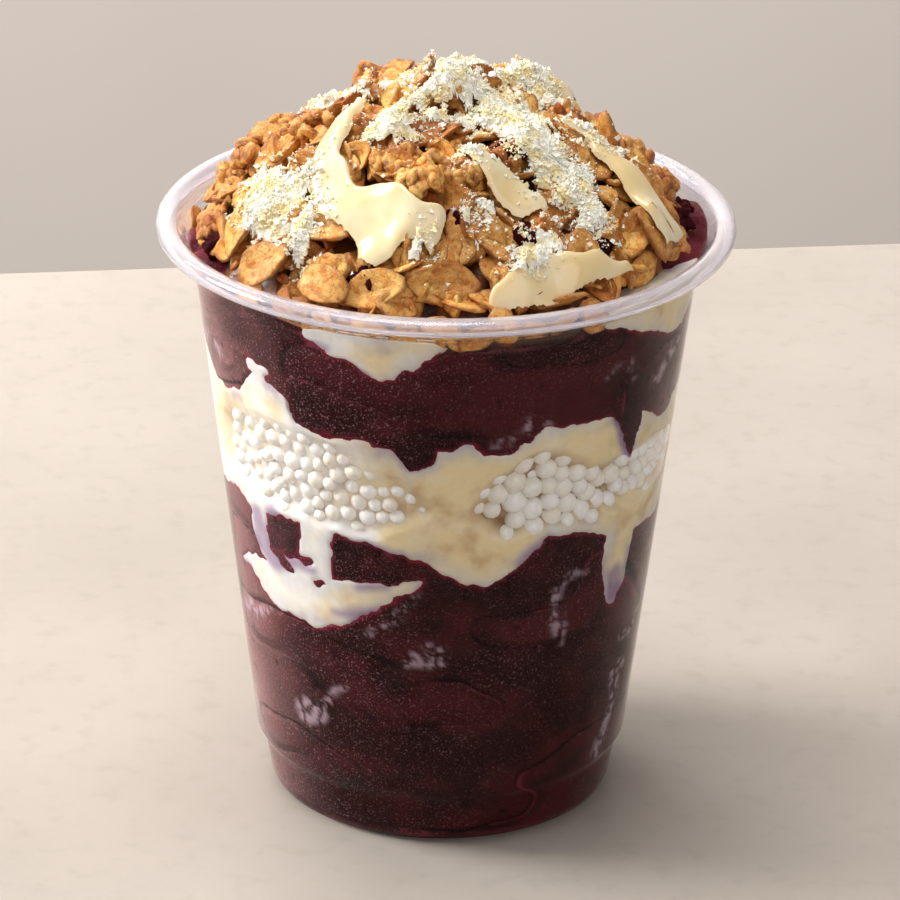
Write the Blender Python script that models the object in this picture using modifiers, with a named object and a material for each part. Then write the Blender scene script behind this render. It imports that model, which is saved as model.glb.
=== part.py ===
"""Layered acai cup: a clear tapered cup, two acai layers round a cream layer, and a granola heap.

Sizes below are in millimetres and are turned to metres where a mesh is made. The origin is the
centre of the cup's foot, +Z is up and the cup's front faces -Y. Angles run from the front (0)
towards +X (90), round the cup.
"""

import math

import bmesh
import bpy
from mathutils import Vector, noise

MM = 0.001

# Cup: one thermoformed sheet, given by the side that touches the food.
SHEET = 0.5
CUP_SEGMENTS = 48
FLOOR_RADIUS = 24.9
FLOOR_Z = 1.5
FOOT_GROOVE_Z = SHEET
FOOT_RADII = (26.1, 28.0)
BASE_CORNER = (29.4, 2.2)
STEP_LOW = (30.5, 8.5)
STEP_HIGH = (31.8, 10.8)
SHOULDER_LOW = (42.4, 98.6)
SHOULDER_HIGH = (43.5, 99.2)
NECK_TOP = (44.0, 101.6)
RIM_CENTRE = (47.1, 102.7)
RIM_HALF_WIDTH = 1.9
RIM_HALF_HEIGHT = 1.6
RIM_ARC_DEGREES = (165, -100)
RIM_ARC_POINTS = 9

# Contents: all of them fill the straight taper, a little clear of the wall and of each other.
GAP = 0.3
FOOD_SEGMENTS = 60
FOOD_FLOOR = (27.4, FLOOR_Z + GAP)
FOOD_CORNER = (29.0, 4.2)
LOWER_ACAI_Z = 57.5
CREAM_TOP_Z = 79.5
UPPER_ACAI_EDGE_Z = 98.6
UPPER_ACAI_CROWN = 8.0
HEAP_EDGE_Z = 102.8
HEAP_RISE = 28.4
HEAP_FALLOFF = 2.4
LUMP_SIZE = 12.0
LUMP_HEIGHT = 4.5

# Where a layer's edge leaves its mean height at the wall: (angle, half width, rise), in degrees
# and millimetres. A negative rise is a tongue or a lobe that hangs down.
LOWER_EDGE = ((-86, 16, 1.5), (-43, 12, -15.5), (12, 20, -5.0), (35, 8, 2.0), (53, 6, -14.0),
              (72, 14, -2.5), (118, 18, -7.0), (158, 9, -12.0), (-165, 22, 3.0), (-125, 15, -8.0))
UPPER_EDGE = ((-88, 14, 4.5), (-65, 7, -2.0), (-48, 8, 6.5), (-7, 6, -5.0), (30, 12, 1.5),
              (51, 5, -8.0), (66, 8, -4.0), (112, 14, 4.0), (150, 12, -7.0), (-135, 18, -5.0))
CROWN_EDGE = ((-88, 26, 1.0), (-17, 13, -5.0), (55, 20, -6.0), (93, 15, 2.2), (150, 20, -4.0),
              (-140, 16, 1.5))


def clear_scene():
    """Remove every object that the file opened with."""
    for obj in list(bpy.data.objects):
        bpy.data.objects.remove(obj, do_unlink=True)


def make_collection(name):
    """Add a collection to the scene."""
    collection = bpy.data.collections.new(name)
    bpy.context.scene.collection.children.link(collection)
    return collection


def make_material(name, colour, roughness, alpha=1.0, transmission=0.0):
    """Make a Principled material."""
    material = bpy.data.materials.new(name)
    material.use_nodes = True
    shader = material.node_tree.nodes["Principled BSDF"]
    shader.inputs["Base Color"].default_value = (*colour, 1.0)
    shader.inputs["Roughness"].default_value = roughness
    shader.inputs["Metallic"].default_value = 0.0
    shader.inputs["Alpha"].default_value = alpha
    shader.inputs["Transmission Weight"].default_value = transmission
    material.diffuse_color = (*colour, alpha)
    return material


def turned(name, profile, segments, collection):
    """Turn a profile of (radius, height) points in millimetres about Z."""
    mesh = bpy.data.meshes.new(name)
    points = [(r * MM, 0.0, z * MM) for r, z in profile]
    mesh.from_pydata(points, [(i, i + 1) for i in range(len(points) - 1)], [])
    obj = bpy.data.objects.new(name, mesh)
    collection.objects.link(obj)
    screw = obj.modifiers.new("Turn", "SCREW")
    screw.steps = segments
    screw.render_steps = segments
    screw.use_merge_vertices = True
    screw.merge_threshold = 0.00001
    return obj


def rim_profile():
    """The rolled rim's outline, from the mouth over the top to its free lower edge."""
    first, last = (math.radians(angle) for angle in RIM_ARC_DEGREES)
    for i in range(RIM_ARC_POINTS):
        angle = first + (last - first) * i / (RIM_ARC_POINTS - 1)
        yield (RIM_CENTRE[0] + RIM_HALF_WIDTH * math.cos(angle),
               RIM_CENTRE[1] + RIM_HALF_HEIGHT * math.sin(angle))


def build_cup(collection):
    """The cup: a turned sheet of even thickness, with a foot ring, a stacking step and a rolled rim."""
    profile = [(0.0, FLOOR_Z), (FLOOR_RADIUS, FLOOR_Z)]
    profile += [(radius, FOOT_GROOVE_Z) for radius in FOOT_RADII]
    profile += [BASE_CORNER, STEP_LOW, STEP_HIGH, SHOULDER_LOW, SHOULDER_HIGH, NECK_TOP]
    profile += list(rim_profile())
    cup = turned("cup", profile, CUP_SEGMENTS, collection)
    sheet = cup.modifiers.new("Sheet", "SOLIDIFY")
    sheet.thickness = SHEET * MM
    sheet.offset = -1.0
    sheet.use_even_offset = True
    cup.data.materials.append(make_material("Clear plastic", (0.9, 0.9, 0.9), 0.08, 0.35, 1.0))
    return cup


def food_radius(z):
    """The contents' radius at a height: the cup's inner wall less the gap, without the neck's flare."""
    stations = (FOOD_FLOOR, FOOD_CORNER, (STEP_LOW[0] - GAP, STEP_LOW[1]),
                (STEP_HIGH[0] - GAP, STEP_HIGH[1]), (SHOULDER_LOW[0] - GAP, SHOULDER_LOW[1]))
    for (r0, z0), (r1, z1) in zip(stations, stations[1:]):
        if z <= z1:
            break
    return r0 + (r1 - r0) * (z - z0) / (z1 - z0)


def edge_wave(angle, bumps):
    """How far a layer's edge is from its mean height at an angle round the cup."""
    total = 0.0
    for centre, half_width, rise in bumps:
        away = (angle - centre + 180.0) % 360.0 - 180.0
        total += rise * math.exp(-(away / half_width) ** 2)
    return total


def lower_surface(angle, reach):
    """Top of the lower acai. Reach runs from 0 at the axis to 1 at the wall."""
    return LOWER_ACAI_Z + edge_wave(angle, LOWER_EDGE) * reach ** 3


def upper_surface(angle, reach):
    """Underside of the upper acai."""
    return CREAM_TOP_Z + edge_wave(angle, UPPER_EDGE) * reach ** 3


def crown_surface(angle, reach):
    """Top of the upper acai: a low crown with a ridge that climbs the wall."""
    crown = UPPER_ACAI_CROWN * (1.0 - reach ** 2)
    return UPPER_ACAI_EDGE_Z + crown + edge_wave(angle, CROWN_EDGE) * reach ** 3


def heap_surface(angle, reach):
    """Top of the granola heap: a dome broken up by lumps."""
    dome = HEAP_EDGE_Z + HEAP_RISE * (1.0 - reach ** HEAP_FALLOFF)
    turn = math.radians(angle)
    across = reach * food_radius(HEAP_EDGE_Z)
    spot = Vector((across * math.sin(turn), -across * math.cos(turn), 0.0)) / LUMP_SIZE
    return dome + LUMP_HEIGHT * noise.noise(spot) * (1.0 - 0.6 * reach)


def floor_surface(_angle, _reach):
    """The flat underside of the contents."""
    return FOOD_FLOOR[1]


def build_layer(name, under, over, top_rings, wall_rings, collection, still=0.0):
    """A layer of food: a turned puck drawn out between two surfaces.

    The rings give how far out each circle of the two faces lies, and how far up the wall each
    circle of the side lies. The part of the side below `still` keeps its height.
    """
    side = [(1.0, level) for level in wall_rings]
    face = [(reach, 1.0) for reach in top_rings]
    base = [(reach, 0.0) for reach in reversed(top_rings)]
    profile = [(reach / MM, level / MM) for reach, level in face + side + base]
    puck = turned(name, profile, FOOD_SEGMENTS, collection)
    graph = bpy.context.evaluated_depsgraph_get()
    solid = bpy.data.meshes.new_from_object(puck.evaluated_get(graph))
    puck.modifiers.clear()
    puck.data = solid
    wall_mean = over(180.0, 0.0) - under(180.0, 0.0)
    for vertex in solid.vertices:
        reach = min(1.0, math.hypot(vertex.co.x, vertex.co.y))
        angle = math.degrees(math.atan2(vertex.co.x, -vertex.co.y))
        level = vertex.co.z
        low = under(angle, reach)
        if level < still:
            height = low + level * wall_mean
        else:
            high = over(angle, reach)
            start = low + still * wall_mean
            height = start + (high - start) * (level - still) / (1.0 - still)
        radius = reach * food_radius(height)
        turn = math.radians(angle)
        vertex.co = Vector((radius * math.sin(turn), -radius * math.cos(turn), height)) * MM
    split_quads(solid)
    return puck


def split_quads(mesh):
    """Split each quad along its shorter diagonal, so that two faces that mate fold the same way."""
    cells = bmesh.new()
    cells.from_mesh(mesh)
    bmesh.ops.triangulate(cells, faces=cells.faces, quad_method="SHORT_EDGE")
    cells.to_mesh(mesh)
    cells.free()


def raised(surface, amount):
    """The same surface, moved up by an amount."""
    return lambda angle, reach: surface(angle, reach) + amount


def build_food(collection):
    """The four contents, from the cup's floor up."""
    rings = (0.0, 0.4, 0.75, 0.92, 1.0)
    height = LOWER_ACAI_Z - FOOD_FLOOR[1]
    base_levels = [(z - FOOD_FLOOR[1]) / height for z in (30.0, STEP_HIGH[1], STEP_LOW[1], FOOD_CORNER[1])]
    lower = build_layer("acai_lower", floor_surface, lower_surface, rings, base_levels, collection,
                        still=base_levels[0])
    cream = build_layer("cream_layer", raised(lower_surface, GAP), raised(upper_surface, -GAP), rings,
                        (0.5,), collection)
    upper = build_layer("acai_upper", upper_surface, crown_surface, rings, (0.5,), collection)
    heap_rings = (0.0, 0.12, 0.24, 0.36, 0.48, 0.6, 0.72, 0.84, 0.94, 1.0)
    heap = build_layer("granola_heap", raised(crown_surface, GAP), heap_surface, heap_rings, (0.5,),
                       collection)
    acai = make_material("Frozen acai", (0.055, 0.012, 0.022), 0.55)
    cream_colour = make_material("Cream and condensed milk", (0.82, 0.72, 0.52), 0.4)
    granola = make_material("Toasted oats", (0.55, 0.25, 0.08), 0.75)
    for obj, material in ((lower, acai), (cream, cream_colour), (upper, acai), (heap, granola)):
        obj.data.materials.clear()
        obj.data.materials.append(material)
    return [lower, cream, upper, heap]


def shade(objects):
    """Smooth the round sides and keep the sharp edges."""
    for obj in objects:
        obj.data.shade_smooth()
        obj.data.set_sharp_from_angle(angle=math.radians(40))


def main():
    """Build the whole cup."""
    clear_scene()
    collection = make_collection("acai_cup")
    pieces = [build_cup(collection)]
    pieces += build_food(collection)
    shade(pieces)


main()
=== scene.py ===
"""Looks of a layered acai cup: clear cup, acai, cream with tapioca pearls, granola, milk powder.

Lengths in this script are millimetres and are turned to metres where a mesh is written. Angles
run in degrees round the cup, from the front (0) towards its right side (90).
"""

import itertools
import logging
import math
from collections.abc import Callable, Iterable, Sequence
from dataclasses import dataclass, field
from enum import Enum

import bpy
import numpy as np
from mathutils import Matrix, Vector
from mathutils.bvhtree import BVHTree


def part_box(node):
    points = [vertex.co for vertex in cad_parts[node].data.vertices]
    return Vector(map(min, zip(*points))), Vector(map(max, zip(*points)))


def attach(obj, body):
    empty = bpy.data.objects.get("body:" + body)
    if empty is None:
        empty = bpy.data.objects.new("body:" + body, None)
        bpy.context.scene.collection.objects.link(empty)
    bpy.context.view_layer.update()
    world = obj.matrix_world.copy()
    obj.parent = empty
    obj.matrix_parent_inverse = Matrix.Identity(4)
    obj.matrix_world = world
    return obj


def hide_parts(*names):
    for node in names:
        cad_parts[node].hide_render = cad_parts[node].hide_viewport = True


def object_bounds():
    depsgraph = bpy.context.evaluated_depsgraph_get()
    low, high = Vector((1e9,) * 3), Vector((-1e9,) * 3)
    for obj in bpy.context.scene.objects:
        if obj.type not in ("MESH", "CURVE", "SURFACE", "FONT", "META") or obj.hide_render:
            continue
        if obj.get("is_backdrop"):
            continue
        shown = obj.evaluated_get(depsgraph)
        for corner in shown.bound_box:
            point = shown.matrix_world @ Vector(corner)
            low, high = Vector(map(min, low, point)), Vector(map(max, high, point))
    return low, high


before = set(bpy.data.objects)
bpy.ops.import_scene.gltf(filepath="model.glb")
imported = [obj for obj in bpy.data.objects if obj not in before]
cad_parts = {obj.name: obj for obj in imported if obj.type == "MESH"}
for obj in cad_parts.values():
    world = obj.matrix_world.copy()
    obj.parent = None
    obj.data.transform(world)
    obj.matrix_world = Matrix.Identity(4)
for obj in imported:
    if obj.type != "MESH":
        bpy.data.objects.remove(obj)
CAD_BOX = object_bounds()

MM = 0.001
LOG = logging.getLogger("acai_cup")
Points = np.ndarray
Knots = Sequence[tuple[float, float]]


# --------------------------------------------------------------------------------- small tools


def linear(hex_code: str) -> tuple[float, float, float, float]:
    """Turn an sRGB hex colour to linear light.

    Args:
        hex_code: Six hex digits.

    Returns:
        Linear red, green, blue and an alpha of 1.
    """
    parts = (int(hex_code[i:i + 2], 16) / 255 for i in (0, 2, 4))
    red, green, blue = (c / 12.92 if c <= 0.04045 else ((c + 0.055) / 1.055) ** 2.4 for c in parts)
    return red, green, blue, 1.0


def smooth(value: Points | float, low: float, high: float) -> Points:
    """Ease from 0 at `low` to 1 at `high`."""
    share = np.clip((value - low) / (high - low), 0.0, 1.0)
    return share * share * (3.0 - 2.0 * share)


def polar(angle: Points, radius: Points, height: Points) -> Points:
    """Points at an angle in degrees round the cup, a radius and a height."""
    turn = np.radians(angle)
    return np.stack([radius * np.sin(turn), -radius * np.cos(turn), height], axis=-1)


def angle_of(points: Points) -> Points:
    """Angle in degrees round the cup of each point."""
    return np.degrees(np.arctan2(points[..., 0], -points[..., 1]))


class Cloud:
    """Smooth random values that fill space, from -1 to 1."""

    def __init__(self, seed: int) -> None:
        """Draw the lattice values for a seed."""
        draw = np.random.default_rng(seed)
        self.values = draw.uniform(-1.0, 1.0, 256)
        self.mix = draw.permutation(256)

    def __call__(self, points: Points, size: float | tuple[float, float, float]) -> Points:
        """Value at each point.

        Args:
            points: Places, in millimetres.
            size: Width of one lump, in millimetres, the same all ways or one for each axis.

        Returns:
            One value for each point.
        """
        scaled = points / np.asarray(size, float)
        cell = np.floor(scaled).astype(int)
        part = scaled - cell
        part = part * part * part * (part * (part * 6 - 15) + 10)
        total = np.zeros(points.shape[:-1])
        for corner in itertools.product((0, 1), repeat=3):
            spot = (cell + corner) & 255
            key = self.mix[(self.mix[(self.mix[spot[..., 0]] + spot[..., 1]) & 255] + spot[..., 2]) & 255]
            weight = np.where(corner, part, 1 - part).prod(axis=-1)
            total += weight * self.values[key]
        return total

    def rough(self, points: Points, size: float, octaves: int = 3) -> Points:
        """Several sizes of lumps added up, each half as wide and half as strong as the last."""
        return sum(self(points + 17.3 * i, size / 2 ** i) / 2 ** i for i in range(octaves))


def deselect() -> None:
    """Deselect all objects."""
    bpy.ops.object.select_all(action="DESELECT")


def pick(obj: bpy.types.Object) -> bpy.types.Object:
    """Make an object the only selected and the active one."""
    deselect()
    obj.select_set(True)
    bpy.context.view_layer.objects.active = obj
    return obj


def read_points(obj: bpy.types.Object) -> Points:
    """An object's mesh points, in millimetres."""
    points = np.empty(len(obj.data.vertices) * 3, np.float32)
    obj.data.vertices.foreach_get("co", points)
    return points.reshape(-1, 3).astype(float) / MM


def write_points(obj: bpy.types.Object, points: Points) -> None:
    """Set an object's mesh points, given in millimetres."""
    obj.data.vertices.foreach_set("co", (points * MM).astype(np.float32).ravel())
    obj.data.update()


def paint(obj: bpy.types.Object, name: str, values: Points) -> None:
    """Store one number for each mesh point, which a material reads by name."""
    layer = obj.data.attributes.new(name, "FLOAT", "POINT")
    layer.data.foreach_set("value", np.asarray(values, np.float32))


def turned(name: str, outline: Iterable[tuple[float, float]], steps: int) -> bpy.types.Object:
    """Extrude an outline from one point and spin it round the cup's axis.

    Args:
        name: Name of the new piece.
        outline: Radius and height of each point, from the axis at the bottom to the axis at the top.
        steps: Points round the cup.

    Returns:
        The closed piece, with its faces pointing out.
    """
    places = [Vector((radius, 0.0, height)) * MM for radius, height in outline]
    deselect()
    bpy.ops.mesh.primitive_plane_add(size=MM, location=places[0])
    obj = bpy.context.object
    obj.name = name
    bpy.ops.object.transform_apply(location=True, rotation=False, scale=False)
    bpy.ops.object.mode_set(mode="EDIT")
    bpy.ops.mesh.select_all(action="SELECT")
    bpy.ops.mesh.merge(type="CENTER")
    for start, end in zip(places, places[1:]):
        bpy.ops.mesh.extrude_vertices_move(TRANSFORM_OT_translate={"value": end - start})
    bpy.ops.mesh.select_all(action="SELECT")
    bpy.ops.mesh.spin(steps=steps, angle=math.tau, center=(0, 0, 0), axis=(0, 0, 1))
    bpy.ops.mesh.select_all(action="SELECT")
    bpy.ops.mesh.remove_doubles(threshold=0.01 * MM)
    bpy.ops.mesh.normals_make_consistent(inside=False)
    bpy.ops.object.mode_set(mode="OBJECT")
    bpy.ops.object.shade_smooth()
    return obj


def applied(obj: bpy.types.Object, kind: str, **settings: object) -> bpy.types.Object:
    """Add a modifier, set it and apply it."""
    pick(obj)
    modifier = obj.modifiers.new(kind.title(), kind)
    for key, value in settings.items():
        setattr(modifier, key, value)
    bpy.ops.object.modifier_apply(modifier=modifier.name)
    return obj


def joined_copies(name: str, shapes: Sequence[tuple[Points, list[tuple[int, ...]]]]) -> bpy.types.Object:
    """One piece from many small shapes, each with its own points.

    Args:
        name: Name of the new piece.
        shapes: Points in millimetres and faces of each shape.

    Returns:
        The new piece.
    """
    points, faces, start = [], [], 0
    for spots, sides in shapes:
        points.append(spots)
        faces.extend(tuple(index + start for index in side) for side in sides)
        start += len(spots)
    mesh = bpy.data.meshes.new(name)
    mesh.from_pydata((np.concatenate(points) * MM).tolist(), [], faces)
    obj = bpy.data.objects.new(name, mesh)
    bpy.context.scene.collection.objects.link(obj)
    mesh.shade_smooth()
    return obj


def shape_of(obj: bpy.types.Object) -> tuple[Points, list[tuple[int, ...]]]:
    """Take a modelled shape's points and faces, and remove its object."""
    shape = read_points(obj), [tuple(face.vertices) for face in obj.data.polygons]
    bpy.data.objects.remove(obj, do_unlink=True)
    return shape


def turn_matrix(axis: Points, tilt: float, spin: float) -> Points:
    """Matrix that stands a shape's Z along an axis, tilts it and spins it, angles in radians."""
    base = Vector(axis).to_track_quat("Z", "Y").to_matrix()
    return np.array(base @ Matrix.Rotation(spin, 3, "Z") @ Matrix.Rotation(tilt, 3, "X"))


def hand_over(obj: bpy.types.Object, slot: str, *nodes: str) -> bpy.types.Object:
    """Attach a finished piece to the root body and hide the solids that it stands for."""
    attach(obj, "root")
    if nodes:
        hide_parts(*nodes)
    LOG.info("%s: %d faces", obj.name, len(obj.data.polygons))
    return obj


# ----------------------------------------------------------------------------------- materials


def add_node(tree: bpy.types.NodeTree, kind: str, settings: dict | None = None,
             links: dict | None = None) -> bpy.types.Node:
    """Add a shader node.

    Args:
        tree: The material's nodes.
        kind: Blender's name of the node, without the ShaderNode in front.
        settings: Values by the name of a property, or by the name or number of an input.
        links: Output sockets by the name or number of the input that they feed.

    Returns:
        The new node.
    """
    node = tree.nodes.new("ShaderNode" + kind)
    for key, value in (settings or {}).items():
        if isinstance(key, str) and key in node.bl_rna.properties:
            setattr(node, key, value)
        else:
            node.inputs[key].default_value = value
    for key, socket in (links or {}).items():
        tree.links.new(socket, node.inputs[key])
    return node


@dataclass
class Finish:
    """A Principled material under construction, with the few steps that all finishes share."""

    name: str
    material: bpy.types.Material = field(init=False)

    def __post_init__(self) -> None:
        """Make the material and its shader."""
        self.material = bpy.data.materials.new(self.name)
        self.material.use_nodes = True
        self.tree = self.material.node_tree
        self.shader = self.tree.nodes["Principled BSDF"]
        self.place = add_node(self.tree, "TexCoord").outputs["Object"]

    def set(self, **values: object) -> None:
        """Set the shader's own sockets, whose names are given with _ for a space."""
        for key, value in values.items():
            self.shader.inputs[key.replace("_", " ")].default_value = value

    def grain(self, size: float, detail: float = 3.0, stretch: tuple[float, float, float] = (1, 1, 1),
              roughness: float = 0.5) -> bpy.types.NodeSocket:
        """Noise with lumps of a size in millimetres, as a value."""
        mapping = add_node(self.tree, "Mapping", {"Scale": stretch}, {"Vector": self.place})
        settings = {"Scale": 1.0 / (size * MM), "Detail": detail, "Roughness": roughness}
        return add_node(self.tree, "TexNoise", settings, {"Vector": mapping.outputs[0]}).outputs["Fac"]

    def attribute(self, name: str) -> bpy.types.NodeSocket:
        """A number stored on the mesh."""
        return add_node(self.tree, "Attribute", {"attribute_name": name}).outputs["Fac"]

    def ramp(self, socket: bpy.types.NodeSocket, low: float, high: float, start: float = 0.0,
             end: float = 1.0) -> bpy.types.NodeSocket:
        """Ease a value between two limits."""
        settings = {"interpolation_type": "SMOOTHSTEP", "From Min": low, "From Max": high,
                    "To Min": start, "To Max": end}
        return add_node(self.tree, "MapRange", settings, {"Value": socket}).outputs["Result"]

    def colour(self, share: bpy.types.NodeSocket | float, first: str | bpy.types.NodeSocket,
               second: str | bpy.types.NodeSocket) -> bpy.types.NodeSocket:
        """Mix two colours, each a hex value or a socket."""
        settings, links = {"data_type": "RGBA"}, {}
        for key, value in ((0, share), (6, first), (7, second)):
            if isinstance(value, bpy.types.NodeSocket):
                links[key] = value
            else:
                settings[key] = linear(value) if isinstance(value, str) else value
        return add_node(self.tree, "Mix", settings, links).outputs[2]

    def maths(self, operation: str, first: bpy.types.NodeSocket | float,
              second: bpy.types.NodeSocket | float) -> bpy.types.NodeSocket:
        """Work out one value from two."""
        settings, links = {"operation": operation}, {}
        for key, value in enumerate((first, second)):
            (links if isinstance(value, bpy.types.NodeSocket) else settings)[key] = value
        return add_node(self.tree, "Math", settings, links).outputs[0]

    def feed(self, **sockets: bpy.types.NodeSocket) -> None:
        """Link the shader's inputs."""
        for key, socket in sockets.items():
            self.tree.links.new(socket, self.shader.inputs[key.replace("_", " ")])

    def bump(self, socket: bpy.types.NodeSocket, height: float, strength: float = 1.0) -> None:
        """Relief of a height in millimetres."""
        settings = {"Strength": strength, "Distance": height * MM}
        node = add_node(self.tree, "Bump", settings, {"Height": socket})
        self.tree.links.new(node.outputs[0], self.shader.inputs["Normal"])


def clear_cup_plastic() -> bpy.types.Material:
    """Thermoformed PET: a clear, hard, glossy sheet, low in index so that the food behind it stays dark."""
    finish = Finish("Clear PET sheet")
    finish.set(Base_Color=linear("fbfafc"), IOR=1.2, Transmission_Weight=1.0, Roughness=0.02)
    finish.bump(finish.grain(14.0, 1.0), 0.12)
    return finish.material


def rim_plastic() -> bpy.types.Material:
    """The rolled edge of the same sheet: thick enough to look a little milky."""
    finish = Finish("Hazed PET roll")
    finish.set(Base_Color=linear("f4f1f7"), IOR=1.45, Transmission_Weight=0.86, Roughness=0.05)
    finish.bump(finish.grain(9.0, 2.0), 0.1)
    return finish.material


def frozen_acai() -> bpy.types.Material:
    """Frozen acai puree: dark purple-brown, dense, with fine ice crystals that glint."""
    finish = Finish("Frozen acai puree")
    finish.set(IOR=1.36, Subsurface_Weight=0.1, Subsurface_Scale=0.0015)
    finish.set(Subsurface_Radius=(1.0, 0.3, 0.3), Specular_IOR_Level=0.07)
    mottle = finish.ramp(finish.grain(7.0, 4.0), 0.3, 0.7, -0.3, 0.3)
    tone = finish.maths("ADD", finish.attribute("tone"), mottle)
    body = finish.colour(finish.ramp(tone, 0.0, 1.0), "260709", "461216")
    # Painted highlight: thin lighter red lines beside the fold cracks.
    body = finish.colour(finish.attribute("painted_crest_highlight"), body, "7c2c3a")
    # Painted reflection: a pale mauve haze where the lamps reflect in the cup, on its left and right sides and most on
    # the left.
    body = finish.colour(finish.attribute("painted_reflection_haze"), body, "a2706f")
    # Ice crystals are some 0.1 mm across and are drawn at about 0.3 mm so that they show.
    ice = finish.ramp(finish.grain(0.36, 2.0, roughness=0.7), 0.57, 0.69)
    # Real ice specks, shown more thickly on the left, towards the key lamp, as painted glints.
    ice = finish.maths("MULTIPLY", ice, finish.attribute("ice_and_glint"))
    body = finish.colour(ice, body, "b07a84")
    body = finish.colour(finish.attribute("stained"), body, "821a32")
    # Painted shade: near-black in the cracks and pits of the scoop marks, and in patches on the crown.
    painted_shade = finish.attribute("painted_shade")
    body = finish.colour(painted_shade, body, "120306")
    veil = finish.attribute("veil")
    body = finish.colour(veil, body, "b39aa2")
    finish.feed(Base_Color=body, Roughness=finish.ramp(finish.grain(3.0, 3.0), 0.3, 0.7, 0.45, 0.7))
    fold = finish.maths("MULTIPLY", finish.attribute("fold"), 4.5)
    finish.bump(finish.maths("ADD", finish.grain(0.8, 3.0, roughness=0.65), fold), 0.2)
    return finish.material


def milk_cream() -> bpy.types.Material:
    """Milk cream with condensed milk in it: wet, white to butter-yellow, thin and bluish at its edges."""
    finish = Finish("Milk cream and condensed milk")
    finish.set(IOR=1.38, Subsurface_Weight=0.18, Subsurface_Scale=0.002)
    finish.set(Subsurface_Radius=(1.0, 0.8, 0.6), Coat_Weight=0.2, Coat_Roughness=0.12)
    cloudy = finish.ramp(finish.grain(5.0, 3.0), 0.3, 0.7, -0.25, 0.25)
    share = finish.maths("ADD", finish.attribute("condensed"), cloudy)
    body = finish.colour(finish.ramp(share, 0.1, 1.0), "f3eee2", "efdbab")
    swirled = finish.ramp(finish.grain(7.0, 3.0), 0.48, 0.72, 0.0, 0.6)
    body = finish.colour(finish.maths("MULTIPLY", swirled, finish.attribute("condensed")), body, "b98d55")
    # Painted shade: brown in the hollows between the pearls.
    body = finish.colour(finish.attribute("gap"), body, "8a6238")
    body = finish.colour(finish.attribute("thin"), body, "cdcdd3")
    body = finish.colour(finish.attribute("stain"), body, "8d6f93")
    finish.feed(Base_Color=body, Roughness=finish.ramp(finish.grain(4.0, 2.0), 0.3, 0.7, 0.2, 0.4))
    finish.bump(finish.grain(3.0, 2.0), 0.06)
    return finish.material


def tapioca() -> bpy.types.Material:
    """Cooked white tapioca: smooth, wet, slightly translucent balls."""
    finish = Finish("Cooked tapioca")
    finish.set(IOR=1.4, Subsurface_Weight=0.2, Subsurface_Scale=0.002, Subsurface_Radius=(1.0, 0.9, 0.8))
    finish.set(Coat_Weight=0.3, Coat_Roughness=0.08)
    body = finish.colour(finish.ramp(finish.attribute("tone"), 0.0, 1.0), "f8f4ec", "efe6d2")
    body = finish.colour(finish.ramp(finish.grain(1.2, 2.0), 0.5, 0.8, 0.0, 0.3), body, "dcd3c4")
    finish.feed(Base_Color=body, Roughness=finish.ramp(finish.grain(2.0, 2.0), 0.3, 0.7, 0.18, 0.35))
    return finish.material


def condensed_milk() -> bpy.types.Material:
    """Condensed milk: thick, butter-coloured, glossy, paler in patches."""
    finish = Finish("Condensed milk")
    finish.set(IOR=1.45, Subsurface_Weight=0.2, Subsurface_Scale=0.003, Subsurface_Radius=(1.0, 0.7, 0.4))
    finish.set(Coat_Weight=0.6, Coat_Roughness=0.07)
    body = finish.colour(finish.ramp(finish.grain(8.0, 2.0), 0.3, 0.7), "eed096", "f4e3bc")
    finish.feed(Base_Color=body, Roughness=finish.ramp(finish.grain(5.0, 2.0), 0.3, 0.7, 0.1, 0.24))
    finish.bump(finish.grain(3.0, 2.0), 0.05)
    return finish.material


def toasted_oat() -> bpy.types.Material:
    """Rolled oats baked with honey: golden faces, browner edges and creases, a patchy thin glaze."""
    finish = Finish("Toasted rolled oat")
    finish.set(IOR=1.45, Subsurface_Weight=0.1, Subsurface_Scale=0.0015)
    finish.set(Subsurface_Radius=(1.0, 0.45, 0.12))
    bran = finish.ramp(finish.grain(1.6, 4.0, roughness=0.7), 0.38, 0.66)
    pale = finish.colour(bran, "fccb72", "e89136")
    deep = finish.colour(bran, "be6a22", "813a10")
    body = finish.colour(finish.attribute("toast"), pale, deep)
    # Browner at flake rims and creases; on the clusters the same mark is painted shade in the dips between nubs.
    body = finish.colour(finish.attribute("edge"), body, "7e3b13")
    # Bran cracks are hair-thin, and are drawn 0.1 to 0.2 mm wide.
    vein = finish.maths("SUBTRACT", finish.grain(3.2, 3.0, roughness=0.6), 0.5)
    crack = finish.maths("ABSOLUTE", vein, 0.0)
    body = finish.colour(finish.ramp(crack, 0.0, 0.022, 0.5, 0.0), body, "8a4516")
    finish.feed(Base_Color=body, Roughness=finish.ramp(finish.grain(3.5, 2.0), 0.35, 0.65, 0.26, 0.62))
    finish.bump(finish.grain(0.8, 4.0, roughness=0.65), 0.3)
    return finish.material


def baked_cluster() -> bpy.types.Material:
    """The granola core: oat crumbs coloured dark brown as painted shade, as it shows only in the gaps between the
    flakes; its gloss is patchy.
    """
    finish = Finish("Granola core in painted shade")
    finish.set(IOR=1.45, Subsurface_Weight=0.1, Subsurface_Scale=0.001, Subsurface_Radius=(1.0, 0.5, 0.2))
    body = finish.colour(finish.ramp(finish.grain(2.2, 3.0), 0.35, 0.65), "6e3a17", "9a5a28")
    # Painted shade: darker still in the core's hollows.
    body = finish.colour(finish.attribute("edge"), body, "3f1c0c")
    finish.feed(Base_Color=body, Roughness=finish.ramp(finish.grain(2.5, 2.0), 0.35, 0.65, 0.22, 0.6))
    finish.bump(finish.grain(0.6, 3.0), 0.15)
    return finish.material


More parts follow.
